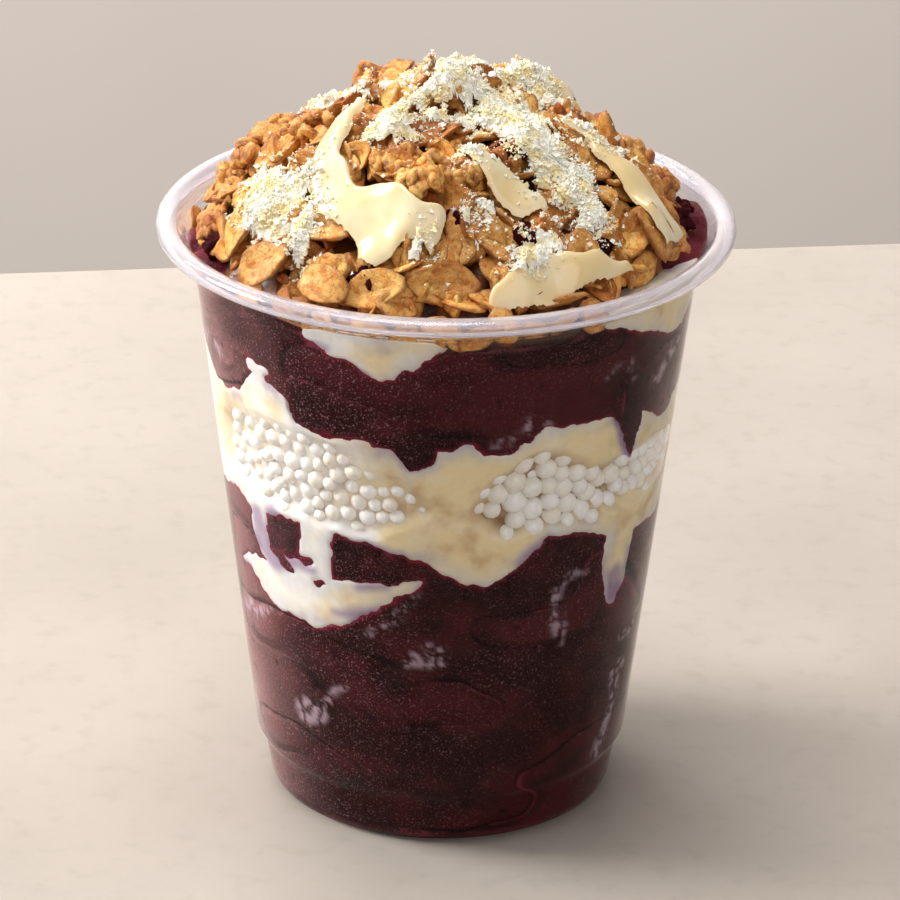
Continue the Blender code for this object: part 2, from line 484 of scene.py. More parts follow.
def milk_powder() -> bpy.types.Material:
    """Milk powder: dry, soft, off-white crumbs, yellower in random patches that are a painted tint of the powder's
    shade.
    """
    finish = Finish("Milk powder")
    finish.set(IOR=1.4, Roughness=0.9)
    # Painted shade: the yellower colour is the warm tint of the powder in its shade, laid in random patches.
    body = finish.colour(finish.ramp(finish.grain(3.0, 3.0), 0.4, 0.7), "fffcf0", "fcebb4")
    finish.feed(Base_Color=body)
    finish.bump(finish.grain(0.5, 3.0, roughness=0.7), 0.25)
    return finish.material


def pale_floor() -> bpy.types.Material:
    """Honed pale stone, matt and almost plain."""
    finish = Finish("Honed pale stone")
    finish.set(Roughness=0.6)
    body = finish.colour(finish.ramp(finish.grain(60.0, 4.0), 0.3, 0.7), "ada297", "b5aa9f")
    body = finish.colour(finish.ramp(finish.grain(5.0, 4.0), 0.5, 0.75, 0.0, 0.35), body, "a09488")
    finish.feed(Base_Color=body)
    finish.bump(finish.grain(2.0, 3.0), 0.05)
    return finish.material


def wall_paint() -> bpy.types.Material:
    """Matt emulsion on a far wall."""
    finish = Finish("Matt wall emulsion")
    finish.set(Roughness=0.9)
    body = finish.colour(finish.ramp(finish.grain(400.0, 2.0), 0.3, 0.7), "d2c5bb", "d8ccc2")
    finish.feed(Base_Color=body)
    return finish.material


# ------------------------------------------------------------------------------------- the cup


@dataclass
class Cup:
    """The clear cup. Its sizes hang on the rim's radius and height, which the frame gives."""

    rim_radius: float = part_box("cup")[1].x / MM
    rim_height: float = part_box("cup")[1].z / MM
    sheet: float = 0.5
    steps: int = 160
    floor: tuple[float, float] = (24.9, 1.5)
    foot: tuple[float, float] = (26.1, 28.0)
    corner: tuple[float, float] = (29.4, 2.2)
    step_low: tuple[float, float] = (30.5, 8.5)
    step_high: tuple[float, float] = (31.8, 10.8)
    shoulder_low: tuple[float, float] = (42.4, 98.6)
    shoulder_high: tuple[float, float] = (43.5, 99.2)
    neck: tuple[float, float] = (44.0, 101.6)
    roll: tuple[float, float] = (1.9, 1.6)
    roll_arc: tuple[float, float] = (165.0, -100.0)

    def inner_radius(self, height: Points | float) -> Points:
        """Radius of the wall's inner face at a height."""
        stations = (self.corner, self.step_low, self.step_high, self.shoulder_low, self.shoulder_high,
                    self.neck)
        return np.interp(height, [z for _, z in stations], [r for r, _ in stations])

    def contact_radius(self, height: Points | float) -> Points:
        """Radius that food reaches: just inside the sheet, so that no air shows between."""
        return self.inner_radius(height) + 0.3 * self.sheet

    def outline(self) -> list[tuple[float, float]]:
        """The side of the sheet that touches the food, from the floor's centre to the roll's free edge."""
        points = [(0.0, self.floor[1]), (12.0, self.floor[1]), self.floor]
        points += [(self.foot[0], self.sheet), (self.foot[1], self.sheet)]
        points += [(self.foot[1] + 0.9, self.sheet + 0.55), self.corner, (30.3, 7.4)]
        points += [self.step_low, (31.1, 9.7), self.step_high]
        points += [(r, z) for r, z in self.straight(self.step_high, (42.2, 97.0), 6)]
        points += [self.shoulder_low, (42.9, 98.9), self.shoulder_high, self.neck]
        centre = (self.rim_radius - self.roll[0], self.rim_height - self.roll[1])
        first, last = (math.radians(angle) for angle in self.roll_arc)
        for i in range(18):
            angle = first + (last - first) * i / 17
            points.append((centre[0] + self.roll[0] * math.cos(angle),
                           centre[1] + self.roll[1] * math.sin(angle)))
        return points

    def bed(self) -> list[tuple[float, float]]:
        """Where food rests on the cup's floor and fills the ring round it."""
        flat = [(self.floor[0] * i / 5, self.floor[1] - 0.1) for i in range(6)]
        return [*flat, (self.foot[0], self.sheet - 0.1), (self.foot[1], self.sheet - 0.1), (29.0, 1.05)]

    @staticmethod
    def straight(start: tuple[float, float], end: tuple[float, float], parts: int) -> Iterable[tuple]:
        """Points that divide a straight stretch, its start left out."""
        for i in range(1, parts + 1):
            share = i / parts
            yield start[0] + (end[0] - start[0]) * share, start[1] + (end[1] - start[1]) * share

    def build(self) -> bpy.types.Object:
        """Turn the sheet, give it its thickness outwards and dress it."""
        cup = turned("clear_cup", self.outline(), self.steps)
        pick(cup)
        # The open sheet is spun with its faces towards the food, so that its thickness goes outwards.
        points = read_points(cup)
        wall = np.abs(points[:, 2] - 50.0).argmin()
        facing = cup.data.vertices[int(wall)].normal
        outward = facing.x * points[wall, 0] + facing.y * points[wall, 1] > 0
        applied(cup, "SOLIDIFY", thickness=self.sheet * MM, offset=1.0 if outward else -1.0,
                use_even_offset=True)
        bpy.ops.object.mode_set(mode="EDIT")
        bpy.ops.mesh.select_all(action="SELECT")
        bpy.ops.mesh.normals_make_consistent(inside=False)
        bpy.ops.object.mode_set(mode="OBJECT")
        bpy.ops.object.shade_smooth_by_angle(angle=math.radians(50))
        cup.data.materials.append(clear_cup_plastic())
        cup.data.materials.append(rim_plastic())
        for face in cup.data.polygons:
            face.material_index = int(face.center.z / MM > self.neck[1] - 0.5)
        cup.visible_shadow = False
        return hand_over(cup, "clear_plastic", "cup")


# ---------------------------------------------------------------------- where each layer shows


@dataclass(frozen=True)
class Stroke:
    """A streak against the wall: points of angle, height and half width, the last two in millimetres."""

    path: tuple[tuple[float, float, float], ...]

    def inside(self, angle: Points, height: Points) -> Points:
        """How far inside the streak each place is, in millimetres; outside it is negative."""
        best = np.full(np.shape(angle), -1e3)
        for (a0, z0, w0), (a1, z1, w1) in zip(self.path, self.path[1:]):
            scale = math.radians(1.0) * WALL.inner_radius((z0 + z1) / 2)
            across = ((angle - a0 + 180.0) % 360.0 - 180.0) * scale
            run, rise = (a1 - a0) * scale, z1 - z0
            length = max(run * run + rise * rise, 1e-6)
            share = np.clip((across * run + (height - z0) * rise) / length, 0, 1)
            away = np.hypot(across - share * run, height - z0 - share * rise)
            best = np.maximum(best, w0 + (w1 - w0) * share - away)
        return best


@dataclass(frozen=True)
class Edge:
    """A layer's edge round the cup, through knots of angle and height."""

    knots: Knots

    def height(self, angle: Points) -> Points:
        """Height of the edge at each angle, eased between the knots."""
        angles = np.array([a for a, _ in self.knots])
        heights = np.array([z for _, z in self.knots])
        angle = (angle - angles[0]) % 360.0 + angles[0]
        i = np.clip(np.searchsorted(angles, angle, side="right") - 1, 0, len(angles) - 1)
        after = (i + 1) % len(angles)
        span = np.where(after == 0, angles[0] + 360.0, angles[after]) - angles[i]
        share = (angle - angles[i]) / span
        share = 0.6 * share + 0.4 * share * share * (3.0 - 2.0 * share)
        return heights[i] + (heights[after] - heights[i]) * share


WALL = Cup()

# Cream under the upper acai, and cream on the lower acai: the front as served, the back in the same way.
CREAM_TOP = Edge(((-95, 84.5), (-84, 85), (-76, 83), (-70, 79.6), (-64, 79.2), (-57, 81), (-53, 84.5),
                  (-49, 86.3), (-45, 84.5), (-40.5, 82.5), (-38.5, 78.8), (-30, 78.3), (-20, 78.6),
                  (-12, 77.6), (-8, 73.8), (-3, 75.6), (0, 78), (6, 79), (11, 77.6), (16, 77),
                  (20, 78.8), (24, 80.6), (34, 80.8), (44, 79.6), (48, 75), (52, 71), (54.5, 74),
                  (56, 78.6), (59, 77.4), (64, 75.4), (71, 74.8), (76, 77), (86, 79), (100, 83),
                  (112, 80), (124, 73.5), (132, 74), (140, 80), (155, 83), (168, 79), (180, 73.5),
                  (196, 75), (206, 81), (222, 84), (238, 79.5), (250, 80.5)))
CREAM_BASE = Edge(((-95, 57), (-85, 58), (-76, 59), (-70, 60.4), (-64, 60.3), (-58, 58), (-50, 59.5),
                   (-40, 60.5), (-29.5, 60), (-28, 60.2), (-22, 59.4), (-18, 58.6), (-12, 57.6),
                   (-4, 56.4), (0, 54.6), (5, 53), (12, 52), (17, 53), (21, 55.4), (26, 58.6), (28, 60.2),
                   (34, 59.8), (39, 59), (43, 58.4), (47, 57), (50, 55.5), (57, 54.5), (62, 54.8),
                   (70, 54.4), (80, 55.5), (94, 54), (108, 49.5), (118, 48), (130, 53.5), (144, 58),
                   (160, 57), (170, 60), (184, 58.5), (198, 52), (212, 49), (226, 53), (242, 58),
                   (255, 58)))
MILK_STROKES = (
    Stroke(((-34, 62, 3.2), (-35, 55, 3.0), (-36, 49, 3.4))),
    Stroke(((-64, 47.6, 1.0), (-58, 46.6, 2.6), (-50, 45.0, 4.2), (-40, 45.2, 4.6), (-30, 46.4, 4.4),
            (-20, 48.6, 2.6), (-12, 50.6, 1.2), (-5, 53.0, 0.5))),
    Stroke(((-55, 58, 2.6), (-54, 52, 2.4), (-49, 49, 2.0), (-43, 51, 2.4), (-37, 51, 2.2))),
    Stroke(((-68, 46.2, 0.7), (-62, 47.4, 1.3), (-57, 46.2, 1.0))),
    Stroke(((53.4, 58, 4.6), (53.6, 51, 4.0), (53.6, 46, 3.0), (53, 43.6, 1.6))),
    Stroke(((-52, 86.6, 0.9), (-48, 86.4, 1.2), (-45.5, 86.8, 0.7))),
    Stroke(((150, 52, 3.0), (152, 46, 2.6), (153, 41, 1.4))),
    Stroke(((-150, 49, 1.2), (-140, 44.5, 2.8), (-128, 43.6, 3.2), (-118, 46, 2.0), (-110, 48.5, 0.7))),
)
ACAI_ISLANDS = (
    Stroke(((-46.6, 57.4, 2.2), (-45.0, 56.2, 2.6), (-44, 53.6, 1.2))),
    Stroke(((-50.5, 52.2, 0.6), (-46.5, 51.2, 1.3), (-43, 50.2, 0.8))),
    Stroke(((-41.5, 54.2, 0.3), (-38.8, 53.8, 0.8), (-37, 53.2, 0.9))),
    Stroke(((-36, 49.6, 0.3), (-34.5, 49.4, 0.7), (-33, 49.6, 0.3))),
)
# Milk that has run down from the toppings, between the upper acai and the wall.
TOP_MILK = (
    Stroke(((-31, 98.6, 2.2), (-26, 97.2, 3.0), (-20, 96.4, 3.2), (-14, 94.0, 3.6), (-8, 96.2, 3.2),
            (-3, 99.2, 2.4))),
    Stroke(((-16, 93.5, 2.2), (-13, 92.0, 1.8))),
    Stroke(((38, 100.6, 2.4), (46, 99.4, 3.4), (54, 98.0, 4.0), (62, 96.6, 4.6), (72, 96.2, 4.6),
            (84, 97.4, 4.0), (92, 100.4, 2.0))),
    Stroke(((60, 93.4, 1.6), (66, 91.8, 1.8), (72, 91.4, 1.2))),
    Stroke(((150, 99, 3.4), (160, 97, 4.2), (170, 98.6, 3.4))),
    Stroke(((-112, 99.4, 3.0), (-124, 97.6, 4.0), (-136, 99.4, 3.0))),
)
# Thin smears of milk on the acai.
VEILS = (
    Stroke(((-43, 22.6, 2.6), (-38.5, 23.2, 2.4), (-35.5, 25.6, 1.2), (-29, 29.4, 0.7))),
    Stroke(((-73, 35.6, 1.4), (-67, 36.6, 2.6), (-62, 37.6, 1.8), (-55, 39.4, 0.8))),
    Stroke(((37, 52, 1.0), (31.5, 49, 1.2), (32.6, 44, 1.8), (34, 40.5, 1.8), (35.4, 37.8, 0.6))),
    Stroke(((37, 52, 0.8), (41, 51.2, 0.8))),
    Stroke(((57, 12, 1.8), (60, 17, 1.4), (63, 22, 1.8), (60, 27.5, 1.2), (67, 27, 1.0))),
    Stroke(((58, 10.5, 0.8), (66, 10.2, 0.8), (75, 9.8, 0.5))),
    Stroke(((60, 34, 0.6), (68, 33, 0.9), (74, 36, 0.6))),
    Stroke(((-8, 37.2, 1.6), (-4, 38.4, 2.6), (-1, 38, 1.8))),
    Stroke(((-20, 42, 0.8), (-12, 46, 1.4), (-6, 50, 1.0))),
    Stroke(((12, 79.4, 0.9), (18, 80.4, 0.9), (21, 82.6, 1.2), (26, 81.4, 0.5))),
    Stroke(((60, 83, 1.6), (66, 86, 1.6), (74, 88.4, 1.2))),
    Stroke(((42, 88, 0.5), (47, 90, 1.0), (51, 86, 0.8))),
    Stroke(((-78, 86, 0.6), (-71, 87.4, 1.2), (-64, 85.4, 1.0))),
    Stroke(((-73, 13, 1.0), (-76, 17, 1.6), (-73, 20, 1.0))),
)


def most(strokes: Sequence[Stroke], angle: Points, height: Points) -> Points:
    """How far inside the nearest streak each place is."""
    return np.max([stroke.inside(angle, height) for stroke in strokes], axis=0)


class Layout:
    """Which food lies against the wall at each place, as a distance inside it in millimetres."""

    ragged = Cloud(3)
    drift = Cloud(4)

    def shifted(self, angle: Points, height: Points) -> tuple[Points, Points]:
        """Places moved about a little, so that edges come out ragged."""
        spots = polar(angle, WALL.inner_radius(height), height)
        sway = 1.3 * self.drift(spots, 5.0) + 0.8 * self.ragged(spots, 1.6)
        lift = 0.7 * self.drift(spots + 40.0, 4.0) + 0.5 * self.ragged(spots + 9.0, 1.3)
        return angle + sway, height + lift

    def milk(self, angle: Points, height: Points) -> Points:
        """The cream layer with its pours, columns and islands."""
        angle, height = self.shifted(angle, height)
        band = np.minimum(CREAM_TOP.height(angle) - height, height - CREAM_BASE.height(angle))
        milk = np.maximum(band, most(MILK_STROKES, angle, height))
        return np.minimum(milk, -most(ACAI_ISLANDS, angle, height))

    def top_milk(self, angle: Points, height: Points) -> Points:
        """Milk run down from the toppings."""
        return most(TOP_MILK, *self.shifted(angle, height))

    def veil(self, angle: Points, height: Points) -> Points:
        """Share of thin milk smeared on the acai, from 0 to 1."""
        spots = polar(angle, WALL.inner_radius(height), height)
        near = most(VEILS, *self.shifted(angle, height))
        lace = np.abs(self.ragged.rough(spots, 1.9, 4))
        return smooth(near, -0.6, 1.2) * smooth(lace, 0.12, 0.6) * 0.8


LAYOUT = Layout()


def body_outline(low: float, high: float, row: float, crown: float = 0.0, rings: int = 10,
                 foot: Knots = ()) -> list[tuple[float, float]]:
    """Outline of a food body: a flat base or a given foot, a side of even rows and a low crown."""
    rows = np.linspace(low, high, int((high - low) / row) + 1)
    base = float(WALL.contact_radius(low)) - 3.0
    points = list(foot) if foot else [(base * i / 6, low) for i in range(7)]
    points += [(float(WALL.contact_radius(z)), float(z)) for z in rows]
    edge = points[-1][0]
    for i in range(rings - 1, -1, -1):
        share = i / rings
        points.append((edge * share, high + crown * (1.0 - share ** 2)))
    return points


ACAI_TOP = Edge(((-95, 99.4), (-84, 99.8), (-60, 99.4), (-45, 98.4), (-32, 97.4), (-20, 96), (-3, 95.8),
                 (5, 96.2), (15, 95.8), (30, 96.2), (40, 97), (56, 98.2), (66, 99.6), (76, 102.0),
                 (90, 103.0), (104, 102.6), (114, 100.4), (126, 98.6), (150, 97.6), (180, 98.4), (210, 97.6), (240, 99)))


@dataclass
class AcaiBody:
    """One of the two acai layers."""

    name: str
    node: str
    low: float
    high: float
    crown: float = 0.0
    foot: Knots = ()
    rings: int = 10
    bend: float = 90.0
    row: float = 0.47
    steps: int = 480
    folds: Cloud = field(default_factory=lambda: Cloud(21))

    def relief(self, spots: Points) -> dict[str, Points]:
        """Depth of scoop marks below the wall, and the marks that the material reads, by name: painted shade in the
        cracks and pits, and a painted highlight beside each fold's crack.
        """
        sway = [self.folds(spots + shift, 13.0) for shift in (0.0, 50.0, 90.0)]
        bent = spots + 3.0 * np.stack(sway, axis=-1)
        arcs = self.folds(bent, (19.0, 19.0, 7.0))
        lip = smooth(arcs, -0.02, 0.04) * smooth(-arcs, -0.55, -0.04)
        crack = smooth(1.0 - np.abs(arcs) * 17.0, 0.0, 1.0)
        crack = crack * smooth(self.folds(spots + 70.0, 9.0), -0.1, 0.3)
        pits = smooth(self.folds(spots + 30.0, 1.7), 0.76, 0.92)
        chop = np.abs(self.folds(bent + 11.0, (5.0, 5.0, 2.6)))
        rough = chop * smooth(self.folds(spots + 20.0, 15.0), -0.2, 0.4)
        tone = 0.5 + 0.8 * arcs + 0.4 * self.folds(bent + 33.0, (6.0, 6.0, 3.0)) - 0.2 * lip
        # Painted highlight: a thin lighter line beside each fold's crack, next to its painted shade.
        painted_crest_highlight = 0.8 * smooth(1.0 - np.abs(arcs - 0.05) * 22.0, 0.0, 1.0)
        painted_crest_highlight = painted_crest_highlight * smooth(self.folds(spots + 45.0, 8.0), -0.1, 0.4)
        return {"depth": 0.01 + 0.06 * lip + 0.05 * rough + 0.1 * crack + 0.12 * pits,
                "painted_shade": np.clip(0.85 * crack + 0.7 * pits, 0.0, 1.0), "tone": np.clip(tone, 0.0, 1.0),
                "painted_crest_highlight": np.clip(painted_crest_highlight - crack, 0.0, 1.0), "fold": -lip - 0.8 * rough}

    def build(self, finish: bpy.types.Material) -> bpy.types.Object:
        """Turn the body, draw it back where milk lies against the wall, and mark it with folds."""
        outline = body_outline(self.low, self.high, self.row, self.crown, self.rings, self.foot)
        body = turned(self.name, outline, self.steps)
        points = read_points(body)
        angle, height = angle_of(points), points[:, 2]
        radius = np.hypot(points[:, 0], points[:, 1])
        side = radius > WALL.contact_radius(height) - 0.05
        if self.crown:
            top = ACAI_TOP.height(angle)
            lift = (top - self.bend) / (self.high - self.bend)
            height = np.where(height > self.bend, self.bend + (height - self.bend) * lift, height)
            shrunk = WALL.contact_radius(top) / WALL.contact_radius(self.high)
            radius = np.where(height > self.bend, radius * shrunk, radius)
            radius = np.where(side, WALL.contact_radius(height), radius)
        milk = np.maximum(LAYOUT.milk(angle, height), LAYOUT.top_milk(angle, height))
        marks = self.relief(points)
        depth = marks["depth"]
        back = 0.14 * smooth(milk, -0.5, 0.0) + 2.6 * smooth(milk, -0.02, 1.6)
        radius = np.where(side, radius - back - depth * smooth(-milk, 0.0, 0.6), radius)
        if self.crown:
            height = np.where(side, height, height + 1.2 * self.folds.rough(points, 6.0))
        write_points(body, polar(angle, radius, height))
        # Painted shade: dark in the cracks and pits at the wall, and in random patches on the crown.
        paint(body, "painted_shade", np.where(side, marks["painted_shade"], 0.35 * smooth(self.folds(points, 4.0), 0.0, 0.6)))
        for name in ("tone", "painted_crest_highlight", "fold"):
            paint(body, name, marks[name])
        paint(body, "veil", np.where(side, LAYOUT.veil(angle, height), 0.0))
        paint(body, "stained", np.where(side, 0.85 * np.exp(-(milk / 0.38) ** 2), 0.3))
        # More ice specks on the left, the side towards the key lamp: painted glints on real ice.
        left = smooth(-angle, -15.0, 40.0) * smooth(angle, -130.0, -95.0)
        ice_and_glint = 0.26 + (0.5 if self.crown else 0.35) * left + 0.25 * self.folds(points, 12.0)
        paint(body, "ice_and_glint", np.clip(ice_and_glint, 0.05, 1.0))
        # Painted reflection: mauve haze on the cup's left and right, weaker on the lower body, in patches.
        painted_reflection_haze = (0.95 if self.crown else 0.7) * smooth(-angle, 34.0, 80.0) * smooth(angle, -150.0, -110.0)
        painted_reflection_haze = painted_reflection_haze + 0.5 * smooth(angle, 46.0, 80.0)
        patchy = np.clip(0.7 + 0.5 * self.folds(points + 5.0, 9.0), 0.0, 1.0)
        paint(body, "painted_reflection_haze", np.where(side, painted_reflection_haze * patchy, 0.1))
        body.data.materials.append(finish)
        return hand_over(body, "acai", self.node)


MILK_TOP = Edge(((-96, 96), (-40, 96), (-34, 97.4), (-28, 98.2), (-3, 98.2), (3, 96), (34, 96), (39, 100.6),
                 (60, 100.8), (92, 101.6), (98, 96), (140, 96), (150, 101), (170, 101), (180, 96),
                 (215, 96), (225, 101), (246, 101), (256, 96)))


@dataclass
class CreamBody:
    """Cream, or the milk at the top, where it lies against the wall."""

    name: str
    low: float
    high: float
    distance: Callable[[Points, Points], Points]
    top: Edge | None = None
    row: float = 0.47
    steps: int = 480
    swirl: Cloud = field(default_factory=lambda: Cloud(33))

    def condensed(self, points: Points, angle: Points, height: Points) -> Points:
        """Share of condensed milk: most at the middle of the front, least at the left."""
        front = np.exp(-((angle - 3.0) / 24.0) ** 2) + 1.0 * np.exp(-((angle - 56.0) / 30.0) ** 2)
        left = 0.8 * np.exp(-((angle + 66.0) / 9.0) ** 2) * smooth(height, 66.0, 72.0)
        behind = 0.5 + 0.4 * self.swirl(points, 25.0)
        share = np.where(np.abs(angle) < 95.0, front + left, behind)
        return np.clip(0.25 + share + 0.35 * self.swirl(points, 6.0), 0.0, 1.0)

    def build(self, finish: bpy.types.Material, *nodes: str) -> bpy.types.Object:
        """Turn the body, let it show only where it lies against the wall, and tint it."""
        body = turned(self.name, body_outline(self.low, self.high, self.row), self.steps)
        points = read_points(body)
        angle, height = angle_of(points), points[:, 2]
        radius = np.hypot(points[:, 0], points[:, 1])
        side = radius > WALL.contact_radius(height) - 0.05
        if self.top:
            height = np.where(height > 94.0, 94.0 + (height - 94.0) * (self.top.height(angle) - 94.0)
                              / (self.high - 94.0), height)
            radius = np.where(side, WALL.contact_radius(height), radius)
        inside = self.distance(angle, height)
        hollow = PEARLS.crowding(angle, height) * smooth(inside, 0.5, 1.8)
        deep = 1.1 + 0.9 * smooth(angle, -5.0, 15.0)
        back = 0.14 * smooth(-inside, -0.5, 0.0) + 2.6 * smooth(-inside, -0.02, 1.6) + deep * hollow
        back += 0.05 * (1.0 + self.swirl(points, 6.0))
        write_points(body, polar(angle, np.where(side, radius - back, radius), height))
        # Painted shade in the hollows between pearls: in patches, and most from about 15 to 40 degrees.
        painted_hollow_shade = 0.4 * smooth(self.swirl(points + 33.0, 3.2), 0.2, 0.7)
        painted_hollow_shade = painted_hollow_shade + 0.8 * smooth(angle, 0.0, 15.0) * smooth(-angle, -60.0, -40.0)
        paint(body, "gap", np.clip(hollow * painted_hollow_shade, 0.0, 1.0))
        paint(body, "condensed", self.condensed(points, angle, height))
        fringe = 1.0 - smooth(inside, 0.2, 3.8 + 2.4 * self.swirl(points, 9.0))
        paint(body, "thin", 0.75 * fringe * (0.7 + 0.3 * self.swirl(points + 5.0, 4.0)))
        stain = smooth(self.swirl(points + 60.0, 6.5), 0.15, 0.6) * (1.0 - smooth(inside, 0.4, 2.8))
        low_left = smooth(most(STAINS, angle, height), -1.2, 1.0)
        paint(body, "stain", np.clip(0.5 * stain + 0.75 * low_left, 0.0, 0.9))
        body.data.materials.append(finish)
        return hand_over(body, "cream", *nodes)


# Acai washed into the milk.
STAINS = (
    Stroke(((-56, 58, 1.6), (-55, 53, 2.4), (-50, 50.6, 2.2), (-42, 52.6, 1.8), (-36, 51.4, 0.8))),
    Stroke(((-49, 60, 1.4), (-46, 57, 1.6))),
    Stroke(((-30, 44.4, 0.5), (-22, 44.8, 1.4), (-17, 46.4, 0.8))),
    Stroke(((20, 55.8, 0.7), (24, 57.8, 1.2), (27.5, 59.6, 0.6))),
    Stroke(((53, 48, 1.6), (53.4, 44.6, 1.8))),
    Stroke(((-22, 50.4, 0.6), (-15, 51.4, 0.8))),
    Stroke(((46.5, 79, 1.2), (49, 75, 1.4), (51.5, 71.4, 0.9))),
)


@dataclass
class Pearls:
    """Tapioca pearls in the cream, packed against the wall."""

    fields: tuple[Stroke, ...] = (
        Stroke(((-60, 70, 6.0), (-48, 69.5, 7.5), (-34, 69, 7.5), (-22, 67, 6.5), (-13, 67.5, 4.0))),
        Stroke(((-30, 74.5, 2.0), (-22, 72.5, 2.0))),
        Stroke(((12, 66, 2.5), (18, 67, 5.5), (25, 69, 6.5), (32, 67.5, 5.5), (38, 66, 3.0))),
        Stroke(((42, 67, 3.5), (52, 66, 4.5), (64, 66, 4.0), (74, 66, 3.0))),
        Stroke(((-6, 66.4, 0.8), (-5.4, 66.4, 0.9))),
        Stroke(((39, 61.6, 1.0), (42, 61.2, 1.4))),
        Stroke(((100, 66, 4.0), (118, 64, 6.0), (135, 67, 5.0))),
        Stroke(((160, 69, 4.0), (178, 66, 5.0), (196, 66, 5.0))),
        Stroke(((-138, 68, 5.0), (-120, 67, 6.5), (-100, 69, 4.5))),
    )
    smallest: float = 1.35
    largest: float = 1.95
    pitch: float = 2.95
    seed: int = 12

    def crowding(self, angle: Points, height: Points) -> Points:
        """How thickly pearls lie at each place, from 0 to 1."""
        return smooth(most(self.fields, angle, height), -2.0, 2.0)

    def packed(self, draw: np.random.Generator, shift: float) -> tuple[Points, Points, Points]:
        """Spread pearls over the fields and push them apart until they only just touch.

        Args:
            draw: Random numbers.
            shift: How far the rows are moved, in parts of a pitch, so that layers differ.

        Returns:
            Angle, height and radius of each pearl.
        """
        girth = math.tau * 37.0
        rows = np.arange(54.0, 84.0, 0.85 * self.pitch)
        along, level = np.meshgrid(np.arange(0.0, girth, self.pitch), rows)
        along[1::2] += self.pitch / 2
        along = along.ravel() + shift * self.pitch + draw.normal(0, 0.7, along.size)
        level = level.ravel() + shift * self.pitch + draw.normal(0, 0.7, level.size)
        angle = np.degrees(along / 37.0) % 360.0 - 180.0
        kept = (most(self.fields, angle, level) > 0.0) & (LAYOUT.milk(angle, level) > 1.4)
        along, level, angle = along[kept], level[kept], angle[kept]
        size = draw.uniform(self.smallest, self.largest, len(angle))
        size *= 1.0 + 0.22 * np.exp(-((angle - 24.0) / 14.0) ** 2) - 0.06 * smooth(-angle, 20.0, 60.0)
        for _ in range(25):
            gap = np.stack([along[:, None] - along, level[:, None] - level])
            away = np.hypot(*gap) + np.eye(len(along)) * 99.0
            push = np.clip(0.86 * (size[:, None] + size) - away, 0.0, None) / away
            along = along + 0.3 * (gap[0] * push).sum(axis=1)
            level = level + 0.3 * (gap[1] * push).sum(axis=1)
        return np.degrees(along / 37.0) % 360.0 - 180.0, level, size

    def build(self, finish: bpy.types.Material) -> bpy.types.Object:
        """Pack pearls against the wall, with more behind the gaps, and join them."""
        draw = np.random.default_rng(self.seed)
        centres, sizes = [], []
        for behind in (0, 1):
            angle, level, size = self.packed(draw, 0.5 * behind)
            milky = LAYOUT.milk(angle, level) > size - 0.4
            angle, level, size = angle[milky], level[milky], size[milky]
            depth = size + 1.9 * behind + draw.uniform(-0.1, 0.6, len(size))
            centres.extend(polar(angle, WALL.contact_radius(level) - depth, level))
            sizes.extend(size)
        deselect()
        bpy.ops.mesh.primitive_ico_sphere_add(subdivisions=3, radius=MM)
        ball, faces = shape_of(bpy.context.object)
        lumps = Cloud(8)
        shapes, tones = [], []
        for i in range(len(sizes)):
            squash = 1.0 + 0.06 * draw.uniform(-1, 1, 3)
            bumpy = 1.0 + 0.04 * lumps(ball + i, 0.9)[:, None]
            shapes.append((ball * squash * bumpy * sizes[i] + centres[i], faces))
            tones.append(np.full(len(ball), draw.uniform(0.0, 0.8)))
        pearls = joined_copies("tapioca_pearls", shapes)
        paint(pearls, "tone", np.concatenate(tones))
        pearls.data.materials.append(finish)
        return hand_over(pearls, "pearls")


PEARLS = Pearls()


# ------------------------------------------------------------------------------- granola on top


